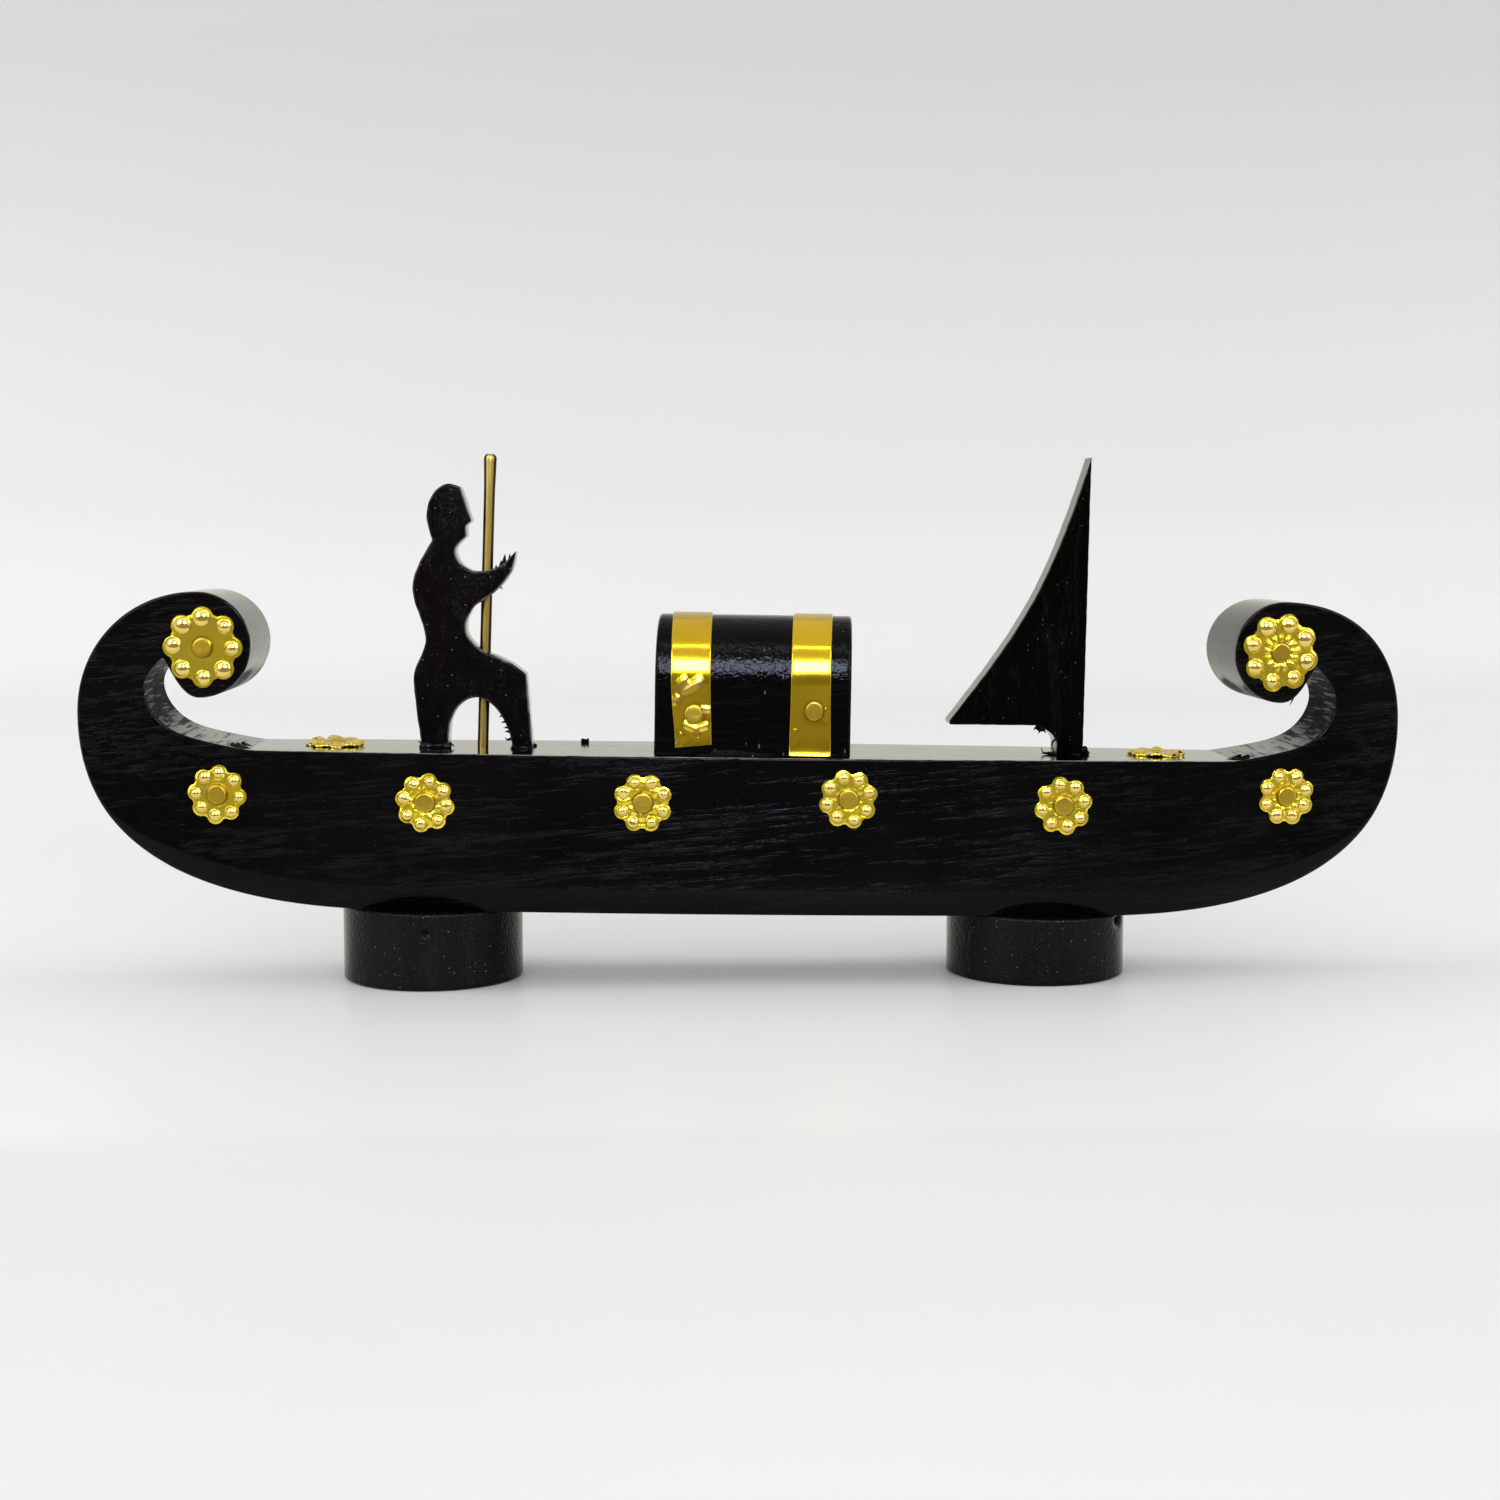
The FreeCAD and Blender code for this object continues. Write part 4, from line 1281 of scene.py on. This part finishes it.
# %% Rosette surface
petal_count = 8
sheet_thickness = 0.4
nail_hole = 0.6
rosette_sides = 168
top_rows = 40
under_rows = 8
rim_bevel = 0.06
rim_drop = 0.10
ring_width = 0.16
ring_depth = 0.04
half_rays = 6.5
ray_radius = 3.2
ray_width = 0.9
flat_middle = (1.8, 2.9)
least_height = 0.12
nail_ring = 2.35
nail_ring_width = 0.22
side_stamp = {"radius": 6.75, "petal": 1.9, "bead": 1.38, "bead_height": 0.72, "valley": 1.0}
scroll_stamp = {"radius": 9.1, "petal": 2.45, "bead": 1.82, "bead_height": 0.92, "valley": 1.4}


def petal_rim(angle, turn, radius, petal, valley):
    """Distance to the scalloped rim: the petal's circle where it is farther out than the plate's edge."""
    pitch = 2 * math.pi / petal_count
    off = (angle - turn + pitch / 2) % pitch - pitch / 2
    circle = radius - petal
    reach = petal ** 2 - (circle * np.sin(off)) ** 2
    scallop = circle * np.cos(off) + np.sqrt(np.maximum(reach, 0))
    return np.where(reach > 0, np.maximum(scallop, radius - valley), radius - valley)


def stamped_height(a, b, turn, stamp, random, wave, rays):
    """Height of the sheet's top at (a, b): plate, domes with rings, waves, and rays that hammering left
    round the nail. Also marks creases for painted shade, which are the rings and the folds between the rays,
    and beads."""
    angle = turn + 2 * math.pi * np.arange(petal_count) / petal_count + random.normal(0, 0.03, petal_count)
    circle = stamp["radius"] - stamp["petal"] + random.normal(0, 0.06, petal_count)
    away = np.hypot(a[..., None] - circle * np.cos(angle), b[..., None] - circle * np.sin(angle))
    size = stamp["bead"] * random.uniform(0.86, 1.06, petal_count)
    tall = stamp["bead_height"] * random.uniform(0.78, 1.08, petal_count)
    domes = np.max(tall * np.maximum(0, 1 - (away / size) ** 2) ** 0.9, -1)
    rings = np.max(np.exp(-((away - size) / ring_width) ** 2), -1)
    pushes = random.normal(0, 1, (5, 2)) * 1.1
    phases = random.uniform(0, 2 * math.pi, 5)
    waves = np.mean(np.sin(a[..., None] * pushes[:, 0] + b[..., None] * pushes[:, 1] + phases), -1)
    away = np.hypot(a, b)
    lobe = np.abs(np.sin(half_rays * np.arctan2(b, a) + 0.7))
    near = np.exp(-((away - ray_radius) / ray_width) ** 2)
    bent = (wave * (waves + 0.5) + rays * lobe * near) * between(away, *flat_middle)
    folds = min(1.0, 4 * rays) * near * (1 - lobe) ** 2
    height = sheet_thickness + domes - ring_depth * rings + bent
    return np.maximum(height, least_height), np.maximum(0.6 * rings, folds), between(domes, 0.03, 0.2)


def rosette_sheet(turn, seed, stamp, hole, wave, rays=0.0, lift=(0.0, 0.0)):
    """Points (a, b, height) and marks of one rosette: top from the hole to the rim, edge, and underside.
    Lift raises the sheet's far edge along two directions, for one that has sprung loose."""
    random = np.random.default_rng(seed)
    angle = round_angles(rosette_sides)[None]
    rim_radius = petal_rim(angle, turn, stamp["radius"], stamp["petal"], stamp["valley"])
    share = np.concatenate([np.linspace(0, 1, top_rows), [1.0], np.linspace(1, 0, under_rows)])[:, None]
    radius = hole + (rim_radius - hole) * share
    radius[top_rows - 1:top_rows + 2] -= np.array([rim_bevel, 0.0, rim_bevel])[:, None]
    a = radius * np.cos(angle)
    b = radius * np.sin(angle)
    height, rings, bead = stamped_height(a, b, turn, stamp, random, wave, rays)
    top = height - rim_drop * between(radius / rim_radius, 0.9, 1.0)
    under = np.maximum(top - sheet_thickness, 0)
    edge = (top[top_rows:top_rows + 1] + under[top_rows:top_rows + 1]) / 2
    height = np.concatenate([top[:top_rows], edge, under[top_rows + 1:]])
    height = height + np.maximum(lift[0] * a + lift[1] * b, 0)
    # Painted shade: a dark ring round the edge of the nail head.
    round_nail = np.exp(-((radius - nail_ring) / nail_ring_width) ** 2)
    return np.stack([a, b, height], -1), {"crease": np.maximum(rings, round_nail), "bead": bead}


ROSETTE_FACES = [quads(top_rows + 1 + under_rows, rosette_sides, wrap_rows=True, wrap_cols=True)]
print("a rosette has", len(ROSETTE_FACES[0]), "faces")

# %% [markdown]
# A rosette lies flat on the hull's bulged side, so it needs a small set of axes there: out of the side, up,
# and along. The middle of the CAD node's box gives its place, and the side's arc gives the way out.

# %% Rosette places
def side_axes(node):
    """Place and axes (along, up, out) of a rosette on the hull's side."""
    x, y, z = level_middle(node)
    face_sign = np.sign(y)
    turn = math.asin(x / side_radius)
    out = np.array([math.sin(turn), face_sign * math.cos(turn), 0])
    up = np.array([0, 0, 1.0])
    return np.array([x, face_sign * half_width(x), z]), np.stack([np.cross(up, out), up, out])


def deck_axes(node):
    """Place and axes of a rosette that lies on the deck."""
    x, y, _ = level_middle(node)
    return np.array([x, y, hull_depth]), np.eye(3)


def placed(points, place, axes):
    """Local (a, b, height) points set on the level boat."""
    return place + points @ axes


def dress_rosette(node, points, marks):
    """A rosette from its points on the level boat."""
    sheet = (aboard(points), ROSETTE_FACES)
    dress(f"stamped_{node}", [sheet], sheet_brass, "brass", node, crease=60, marks=marks)


front_turns = (40, 35, 22, 15, 11, 20)
front_rays = (0.0, 0.12, 0.06, 0.06, 0.06, 0.12)
# Each rosette has a turn in degrees, a seed, a stamp, and heights of its waves and rays.
rosettes = {}
for number, (turn, rays) in enumerate(zip(front_turns, front_rays), start=1):
    rosettes[f"side_rosette_front_{number}"] = (turn, 20 + number, side_stamp, 0.22, rays)
    rosettes[f"side_rosette_back_{number}"] = (turn + 17, 40 + number, side_stamp, 0.16, 0.1)
rosettes["scroll_rosette_front_left"] = (0, 61, scroll_stamp, 0.05, 0.0)
rosettes["scroll_rosette_front_right"] = (31, 62, scroll_stamp, 0.18, 0.25)
rosettes["scroll_rosette_back_left"] = (12, 63, scroll_stamp, 0.12, 0.1)
rosettes["scroll_rosette_back_right"] = (28, 64, scroll_stamp, 0.12, 0.3)
nail_spots = []
for node, (turn, seed, stamp, wave, rays) in rosettes.items():
    place, axes = side_axes(node)
    points, marks = rosette_sheet(math.radians(turn), seed, stamp, nail_hole, wave, rays)
    dress_rosette(node, placed(points, place, axes), marks)
    nail_spots.append((place + axes[2] * sheet_thickness, axes))

deck_stamp = dict(side_stamp, bead_height=0.45)
deck_wave = 0.5
deck_rosettes = {"deck_rosette_left": (10, 71, (0.0, 0.16)), "deck_rosette_right": (30, 72, (0.03, 0.08))}
for node, (turn, seed, lift) in deck_rosettes.items():
    place, axes = deck_axes(node)
    points, marks = rosette_sheet(math.radians(turn), seed, deck_stamp, stick_hole, deck_wave, lift=lift)
    dress_rosette(node, placed(points, place, axes), marks)

# %% [markdown]
# ## Nails
# Flat-headed nails hold the trim. Only their heads show: thin discs, not quite round, with a worn edge. All
# the rosette nails are one piece, as they are one group of solids in the part, and the strap nails are
# another.

# %% Nail heads
nail_head_radius = 2.2
nail_head_thickness = 0.7
nail_sides = 48
head_shares = np.array([0, 0.4, 0.75, 0.88, 0.95, 0.99, 1.0, 1.0, 0.0])[:, None]
head_heights = nail_head_thickness * np.array([1, 1, 0.99, 0.97, 0.92, 0.82, 0.66, 0.0, 0.0])[:, None]
head_tilt = 0.05
strap_head_squeeze = 0.9
NAIL_FACES = [quads(len(head_shares), nail_sides, wrap_cols=True)]


def nail_head(seed):
    """A disc: a profile (share of the radius, height) carried round a slightly uneven circle."""
    random = np.random.default_rng(seed)
    angle = round_angles(nail_sides)[None]
    waves = np.sin(2 * angle + random.uniform(0, 6)) + np.sin(5 * angle + random.uniform(0, 6))
    radius = nail_head_radius * head_shares * (0.97 + 0.015 * waves)
    a = radius * np.cos(angle)
    b = radius * np.sin(angle)
    tilt = head_tilt * (a * math.cos(seed) + b * math.sin(seed))
    return np.stack([a, b, head_heights + tilt * (head_heights > 0)], -1)


rosette_heads = [
    (aboard(placed(nail_head(seed), *spot)), NAIL_FACES) for seed, spot in enumerate(nail_spots)
]
dress("driven_rosette_nails", rosette_heads, nail_brass, "brass", "rosette_nails")

strap_heads = []
for strap in straps.values():
    for face_sign in (-1, 1):
        out = face_sign * (cabin_side + strap_thickness)
        skew = out * math.tan(math.radians(strap["turn"] - cabin_turn))
        place = np.array([strap["x"] - skew + strap_nail_offset, out, strap["nail"]])
        axes = np.array([[-strap_head_squeeze * face_sign, 0, 0], [0, 0, 1.0], [0, face_sign, 0]])
        head = placed(nail_head(30 + len(strap_heads)), place, axes)
        strap_heads.append((aboard(on_cabin(head)), NAIL_FACES))
dress("driven_strap_nails", strap_heads, nail_brass, "brass", "strap_nails")

# %% [markdown]
# ## Boatman and sail
# Both are sawn from thin boards with a fretsaw, so each is an outline made of short runs. The figure is a
# plain silhouette. A low wave along the cut edge stands for the wandering of the saw.

# %% Boatman
figure_runs = (
    ((-11.8, 0.0), (-13.2, 9.4), (-13.8, 15.0)),
    ((-13.8, 15.0), (-13.5, 17.6), (-11.2, 23.6), (-14.0, 35.2), (-9.6, 47.3)),
    ((-9.6, 47.3), (-10.8, 54.5), (-6.3, 60.1), (-3.2, 59.5)),
    ((-3.2, 59.5), (-2.5, 57.7), (-0.5, 51.7)),
    ((-0.5, 51.7), (-1.8, 50.5)),
    ((-1.8, 50.5), (-1.6, 48.2)),
    ((-1.6, 48.2), (-4.1, 44.9), (-0.5, 40.6), (2.6, 40.6)),
    ((2.6, 40.6), (5.0, 41.4), (9.4, 45.2)),
    ((9.4, 45.2), (9.1, 42.0), (6.1, 37.0), (0.3, 32.6)),
    ((0.3, 32.6), (-1.7, 28.0), (-1.2, 25.7), (2.4, 22.2)),
    ((2.4, 22.2), (9.0, 19.3), (12.1, 17.1)),
    ((12.1, 17.1), (13.6, 0.0)),
    ((13.6, 0.0), (9.0, 0.0)),
    ((9.0, 0.0), (7.0, 6.1), (0.4, 11.6), (-3.9, 8.7), (-5.5, 0.0)),
    ((-5.5, 0.0), (-11.8, 0.0)),
)
figure_thickness = 7.0
figure_edge = 0.55
figure_wander = 0.06
sawn_step = 0.25
sawn_reach = 0.28


def sawn_outline(runs, wander):
    """Runs joined into a closed outline, softened a little, with a low wave along it from the saw."""
    outline = soften(np.vstack([smooth_run(run)[:-1] for run in runs]), sawn_step, sawn_reach)
    along = np.arange(len(outline)) * sawn_step
    wave = wander * (np.sin(along / 0.55) + np.sin(along / 0.83 + 2.0) + np.sin(along / 1.7 + 1.0)) / 3
    return outline + inward(outline) * (wander + wave)[:, None]


figure_outline = sawn_outline(figure_runs, figure_wander) + (figure_x, hull_depth)
figure_points, figure_faces = board(figure_outline, figure_thickness, figure_edge)
figure_splinters = [
    ([(6.6, -2.2, 42.0), (6.75, -2.4, 43.2), (6.9, -2.6, 44.5)], 1.1),
    ([(5.9, -1.6, 41.4), (6.0, -1.8, 43.0)], 1.0),
    ([(4.9, -2.8, 40.8), (4.9, -2.9, 42.0)], 0.8), ([(7.9, -2.6, 43.0), (8.0, -2.7, 44.6)], 0.7),
    ([(5.6, -2.8, 37.2), (6.6, -3.0, 36.2)], 0.5), ([(6.9, -2.5, 7.6), (5.6, -2.6, 7.2)], 0.7),
    ([(7.5, -2.0, 6.2), (6.1, -2.2, 5.8)], 0.75), ([(8.0, -2.8, 4.9), (6.7, -3.0, 4.7)], 0.65),
    ([(8.3, -2.4, 3.8), (6.9, -2.6, 3.9)], 0.7),
    ([(8.8, -2.8, 2.4), (7.5, -3.0, 2.1), (7.1, -3.0, 2.7)], 0.75),
    ([(-5.8, -2.8, 1.1), (-4.9, -3.4, 0.8), (-4.2, -3.6, 0.25)], 0.8),
    ([(-11.6, -3.0, 0.8), (-12.7, -3.4, 1.6)], 0.6),
]
figure_lumps = [
    ((-10.6, -3.5, 0.4), (1.7, 0.7, 0.9)), ((-8.4, -3.6, 0.3), (2.0, 0.6, 0.75)),
    ((-6.4, -3.5, 0.35), (1.3, 0.6, 0.8)), ((11.0, -3.5, 0.2), (2.6, 0.5, 0.5)),
    ((9.2, -3.2, 0.4), (0.6, 0.6, 0.7)),
    ((-9.0, 3.5, 0.3), (2.8, 0.6, 0.7)), ((11.2, 3.5, 0.3), (2.4, 0.6, 0.6)),
]
dress(
    "sawn_boatman", [(aboard(figure_points), figure_faces)], figure_lacquer, "black_lacquer", "boatman",
    marks=rim_marks(figure_outline, facing=0.8, elsewhere=0.2), bits=[pole_bit],
    rough=rough_work(figure_splinters, figure_lumps, (figure_x, 0, hull_depth)),
)

# %% [markdown]
# The sail has one straight edge, the mast, and one hollow edge, the leech, and it stands on a short neck.
# Its tip is too narrow for a full rounding, so the rounding shrinks towards it.

# %% Sail
sail_x = 0.503 * half_length
sail_y = 2.0
sail_thickness = 8.0
mast = 3.15
sail_tip = (mast, 68.7)
sail_clew = (mast - 31.4, 7.5)
sail_foot = 6.6
leech_hollow = 4.0
leech = np.array(sail_tip) - np.array(sail_clew)
leech_middle = (np.array(sail_tip) + np.array(sail_clew)) / 2
leech_middle = leech_middle + leech_hollow * np.array([leech[1], -leech[0]]) / np.linalg.norm(leech)
neck_flare = 5.0
sail_wander = 0.04
sail_edge = 0.35
sail_runs = (
    (sail_tip, (mast, 0)),
    ((mast, 0), (-mast, 0)),
    ((-mast, 0), (-mast, 2.8)),
    ((-mast, 2.8), (-mast - 0.9, 4.4), (-mast - 2.6, 5.7), (-mast - neck_flare, sail_foot)),
    ((-mast - neck_flare, sail_foot), (sail_clew[0], sail_foot)),
    ((sail_clew[0], sail_foot), sail_clew),
    (sail_clew, leech_middle, sail_tip),
)
sail_outline = sawn_outline(sail_runs, sail_wander)
tip_room = 0.02 + 0.06 * np.maximum(sail_tip[1] - 0.4 - sail_outline[:, 1], 0)
sail_outline = sail_outline + (sail_x, hull_depth)
sail_points, sail_faces = board(sail_outline, sail_thickness, sail_edge, tip_room)
sail_points = sail_points + (0, sail_y, 0)
sail_splinters = [
    ([(-3.0, -3.6, 3.8), (-4.2, -3.9, 2.4), (-3.7, -4.0, 0.8), (-3.3, -4.0, 0.2)], 0.5),
    ([(-3.0, -4.0, 0.4), (-5.0, -4.5, 0.35), (-6.3, -4.8, 0.5), (-6.9, -4.8, 2.1)], 0.8),
    ([(-3.0, -4.2, 0.2), (-5.2, -4.9, 0.25), (-7.0, -5.2, 0.3)], 0.9),
    ([(-7.3, -3.4, 6.7), (-7.0, -3.6, 5.6), (-7.5, -3.8, 4.7)], 1.1),
    ([(-6.4, -3.4, 6.4), (-5.9, -3.6, 5.3), (-5.5, -3.7, 4.8)], 0.9),
    ([(-7.5, -3.4, 6.4), (-8.6, -3.6, 5.6)], 0.9),
]
sail_lumps = [
    ((-6.8, -2.8, 6.0), (1.0, 1.1, 0.8)),
    ((3.4, -3.4, 0.8), (0.9, 0.9, 1.2)), ((4.0, -3.2, 0.4), (0.7, 0.8, 0.6)),
    ((0.2, 3.9, 0.3), (2.6, 0.6, 0.6)),
]
dress(
    "sawn_sail", [(aboard(sail_points), sail_faces)], sail_lacquer, "black_lacquer", "sail",
    marks=rim_marks(sail_outline, facing=0.0, elsewhere=0.12),
    rough=rough_work(sail_splinters, sail_lumps, (sail_x, sail_y, hull_depth)),
)

# %% [markdown]
# ## Peg and hidden pins
# A peg stands snapped off in the deck behind the boatman. Its top is torn, so the ring of its rim goes up
# and down. The dowels and pins inside the wood stay as the part's own solids and only get a finish: bare
# wood with its grain.

# %% Peg and bare wood
peg_low, peg_high = (np.array(corner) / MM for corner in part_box("deck_peg"))
peg_middle = (peg_low + peg_high) / 2
peg_radius = 0.97 * (peg_high[0] - peg_low[0]) / 2
peg_sides = 32
rings_below_top = np.array([1.2, 0.45, 0.3, 0.35, 0.35])


def snapped_peg():
    """A stub: rings of (share of the radius, height), with a torn rim, carried round the peg's middle."""
    angle = round_angles(peg_sides)[None]
    tear = 0.18 * np.sin(3 * angle + 0.6) + 0.10 * np.sin(7 * angle)
    share = np.array([0, 1, 1, 1, 0.94, 0.5, 0])[:, None]
    torn_share = np.array([0, 0, 0, 1, 1, 0.7, 0])[:, None]
    height = np.concatenate([[peg_low[2], peg_low[2]], peg_high[2] - rings_below_top])[:, None]
    x = peg_middle[0] + peg_radius * share * np.cos(angle)
    y = peg_middle[1] + peg_radius * share * np.sin(angle)
    points = np.stack(np.broadcast_arrays(x, y, height + torn_share * tear), -1) * MM
    return points, [quads(*x.shape, wrap_cols=True)]


dress("snapped_peg", [snapped_peg()], sail_lacquer, "black_lacquer", "deck_peg")
PALE_WOOD = (0.58, 0.42, 0.26, 1.0)
DARK_WOOD = (0.42, 0.28, 0.15, 1.0)
bare_wood, tree, shader, where = new_material("bare_wood")
fineness, grain_scale, grain_turn = UPRIGHT_GRAIN
along = stretch(tree, where, grain_scale, grain_turn)
lines = use_group(tree, grain_group, Vector=along, Fineness=fineness)
pale_grain = mix_colour(tree, lines["Streaks"], PALE_WOOD, DARK_WOOD)
wood_roughness = ramp(tree, lines["Height"], 0.3, 0.7, 0.6, 0.8)
set_inputs(tree, shader, {"Base Color": pale_grain, "Roughness": wood_roughness})
for node in ("foot_dowel_left", "foot_dowel_right", "boatman_pins", "sail_pin"):
    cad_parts[node].data.materials.clear()
    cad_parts[node].data.materials.append(bare_wood)
print("bare wood on the hidden dowels and pins")

# %% [markdown]
# ## Pole
# The pole is a length of drawn brass wire, cut off bluntly and flattened a little at its top. It rides on
# its own body, because it slides up out of the deck. It is a circle carried along the pole's straight,
# leaning axis; a cylinder would do, but for the spread top.

# %% Pole
pole_low = -7.8
pole_sides = 32
pole_rows = 90
top_spread = 0.17
top_reach = 6.0
rings_under_top = np.array([0.8, 0.45, 0.2, 0.08, 0.02, 0.0])
top_shares = np.array([0.97, 0.86, 0.74, 0.6, 0.35, 0.0])


def drawn_pole():
    """A round section carried up the pole's axis. The top spreads sideways and is broken off at its
    corners. Marks painted shade along both sides, as the front sees them, and a thinner painted dark line
    just right of the middle."""
    shaft = np.linspace(pole_low + 0.2, pole_height - 1.0, pole_rows)
    up = np.concatenate([[pole_low, pole_low], shaft, pole_height - rings_under_top])
    closing = np.concatenate([[0.0, 1.0], np.ones(pole_rows), top_shares])
    spreading = top_spread * np.exp(-((pole_height - up) / top_reach) ** 2)
    angle = round_angles(pole_sides)
    across = np.cos(angle)
    x = (pole_radius * (closing * (1 + spreading)))[:, None] * across
    y = (pole_radius * (closing * (1 - spreading)))[:, None] * np.sin(angle)
    z = np.repeat(up[:, None], pole_sides, 1)
    # Painted shade: the sides of the round bar darken, and a thin painted dark line runs right of the middle.
    lines = 1.6 * between(np.abs(across), 0.42, 0.66) + 0.5 * np.exp(-((across - 0.2) / 0.14) ** 2)
    return (along_pole(x, y, z), [quads(*x.shape, wrap_cols=True)]), np.broadcast_to(lines, x.shape)


pole_sheet, pole_side_shade = drawn_pole()
dress("drawn_pole", [pole_sheet], wire_brass, "brass", "pole", body="pole", marks={"crease": pole_side_shade})

# %% [markdown]
# ## Stage, camera and light
# The boat stands on a white sweep: a pale floor that curves up into a backdrop. Painted shade darkens the
# paper a little towards the top. Light on a black, glossy object does two jobs, so here each job has its own
# lamps. The windows are bright, small and seen only in reflections, where they draw the bands on the cabin
# and the glints on the brass. The fills are large, low and not reflected, so that light creeps under the hull
# and the shadow stays soft. A dark felt in front is seen only in reflections too; without it black gloss
# would mirror a white floor and turn grey.

# %% Floor
floor_reach = 2.6
sweep_start = 0.85
sweep_radius = 0.55
sweep_height = 1.9


def extruded(profile, width):
    """A profile of (y, z) points carried along X by a width: points and faces."""
    x = np.array([-width / 2, width / 2])[:, None]
    points = np.stack(np.broadcast_arrays(x, profile[:, 0], profile[:, 1]), -1)
    return points, [quads(*points.shape[:2])]


CLEAN_PAPER = (0.84, 0.84, 0.845, 1.0)
BRIGHT_PAPER = (0.86, 0.86, 0.86, 1.0)
# Painted shade: the rolled-up paper and the wall get darker with height.
LOW_SHADE_PAPER = (0.755, 0.755, 0.76, 1.0)
HIGH_SHADE_PAPER = (0.555, 0.555, 0.56, 1.0)
paper, tree, shader, where = new_material("pale_paper")
up = part_of(tree, where, "Z")
shade = ramp(tree, noise(tree, where, 6.0, 2.0), 0.3, 0.7)
tone = mix_colour(tree, shade, CLEAN_PAPER, BRIGHT_PAPER)
# Painted shade: the paper darkens with height, as the light falls off up the backdrop.
tone = mix_colour(tree, ramp(tree, up, 0.02, 0.12), tone, LOW_SHADE_PAPER)
tone = mix_colour(tree, ramp(tree, up, 0.1, 0.5), tone, HIGH_SHADE_PAPER)
set_inputs(tree, shader, {"Base Color": tone, "Roughness": 0.42, "IOR": 1.35})
roll = arc((sweep_start, sweep_radius), sweep_radius, -90, 0, 40)
sweep = np.vstack([[(-floor_reach, 0.0)], roll, [(sweep_start + sweep_radius, sweep_height)]])
floor = mesh_object("pale_sweep", [extruded(sweep, 2 * floor_reach)], paper)
print("floor reaches", floor_reach, "m")

# %% [markdown]
# Each lamp is a softbox: a flat, glowing rectangle that faces the boat. A lamp can be hidden from the
# camera, from reflections or from plain surfaces one by one, which is how the windows and the fills get
# their separate jobs. A pale world fills what is left.

# %% Light
def softbox(name, place, aim, size, power, colour=(1.0, 1.0, 1.0)):
    """A rectangular area light at a place, turned to face a point."""
    lamp = bpy.data.lights.new(name, "AREA")
    lamp.shape = "RECTANGLE"
    lamp.size, lamp.size_y = size
    lamp.energy = power
    lamp.color = colour
    made = bpy.data.objects.new(name, lamp)
    bpy.context.scene.collection.objects.link(made)
    away = np.array(place) - np.array(aim)
    flat = math.hypot(away[0], away[1])
    made.location = place
    made.visible_camera = False
    made.rotation_euler = (math.atan2(flat, away[2]), 0, math.atan2(away[0], -away[1]))
    return made


boat_middle = (0.0, 0.0, 0.07)
daylight = (0.64, 0.73, 1.0)
windows = [
    softbox("front_window", (0.05, -0.97, 0.56), boat_middle, (0.30, 0.36), 10.0, daylight),
    softbox("left_window", (-0.85, -0.75, 0.62), boat_middle, (0.5, 0.8), 7.0),
    softbox("right_window", (0.9, -0.7, 0.62), boat_middle, (0.5, 0.8), 6.0),
    softbox("overhead_strip", (0.0, -0.58, 1.12), boat_middle, (1.0, 0.04), 1.5),
]
fills = [
    softbox("front_fill", (0.0, -1.7, 0.55), (0.0, 0.1, 0.0), (2.0, 0.4), 13.0),
    softbox("left_fill", (-2.3, 0.1, 0.9), (0.0, 0.3, 0.0), (1.2, 1.2), 25.0),
    softbox("right_fill", (2.3, 0.1, 0.9), (0.0, 0.3, 0.0), (1.2, 1.2), 16.0),
]
for window in windows:
    window.visible_diffuse = False
for fill in fills:
    fill.visible_glossy = False
world = bpy.data.worlds.new("pale_room")
bpy.context.scene.world = world
world.use_nodes = True
background = world.node_tree.nodes["Background"]
set_inputs(world.node_tree, background, {"Color": (1.0, 1.0, 0.99, 1.0), "Strength": 0.76})
print("lights:", [lamp.name for lamp in bpy.data.lights])

# %% [markdown]
# The dark felt lies on the table in front of the boat and stands up at its far end. Only reflections see
# it, so it throws no shadow and the camera looks through it.

# %% Dark card
card_start = 0.14
card_end = 1.15
card_width = 2.6
card_height = 0.34
card_lift = 0.002
FELT = (0.16, 0.155, 0.15, 1.0)
PALE_FELT = (0.21, 0.20, 0.20, 1.0)
felt, tree, shader, where = new_material("dark_felt")
shade = ramp(tree, noise(tree, where, 9.0, 2.0), 0.3, 0.7)
set_inputs(tree, shader, {"Base Color": mix_colour(tree, shade, FELT, PALE_FELT), "Roughness": 0.9})
card_profile = np.array([(-card_start, card_lift), (-card_end, card_lift), (-card_end, card_height)])
card = mesh_object("dark_card", [extruded(card_profile, card_width)], felt)
card.visible_camera = False
card.visible_diffuse = False
card.visible_shadow = False
print("the card starts", card_start, "m in front of the boat")

# %% [markdown]
# The camera is the one that was fitted to the photo: its place, its two turns and its focal length in
# pixels. A lens is given in millimetres on a 36 mm sensor, so the focal length is scaled by the photo's
# width.

# %% Camera
photo_side = 1500
focal_pixels = 2288
camera_yaw = 0.0421
camera_pitch = 0.0975
camera_place = (-0.02085, -0.5265, 0.10357)
lens = bpy.data.cameras.new("photo_camera")
lens.sensor_width = 36.0
lens.lens = lens.sensor_width * focal_pixels / photo_side
camera = bpy.data.objects.new("photo_camera", lens)
bpy.context.scene.collection.objects.link(camera)
camera.location = camera_place
camera.rotation_euler = (math.pi / 2 - camera_pitch, 0, -camera_yaw)
bpy.context.scene.camera = camera
bpy.context.scene.view_settings.view_transform = "Standard"
print("lens of", round(lens.lens, 2), "mm at", camera_place)
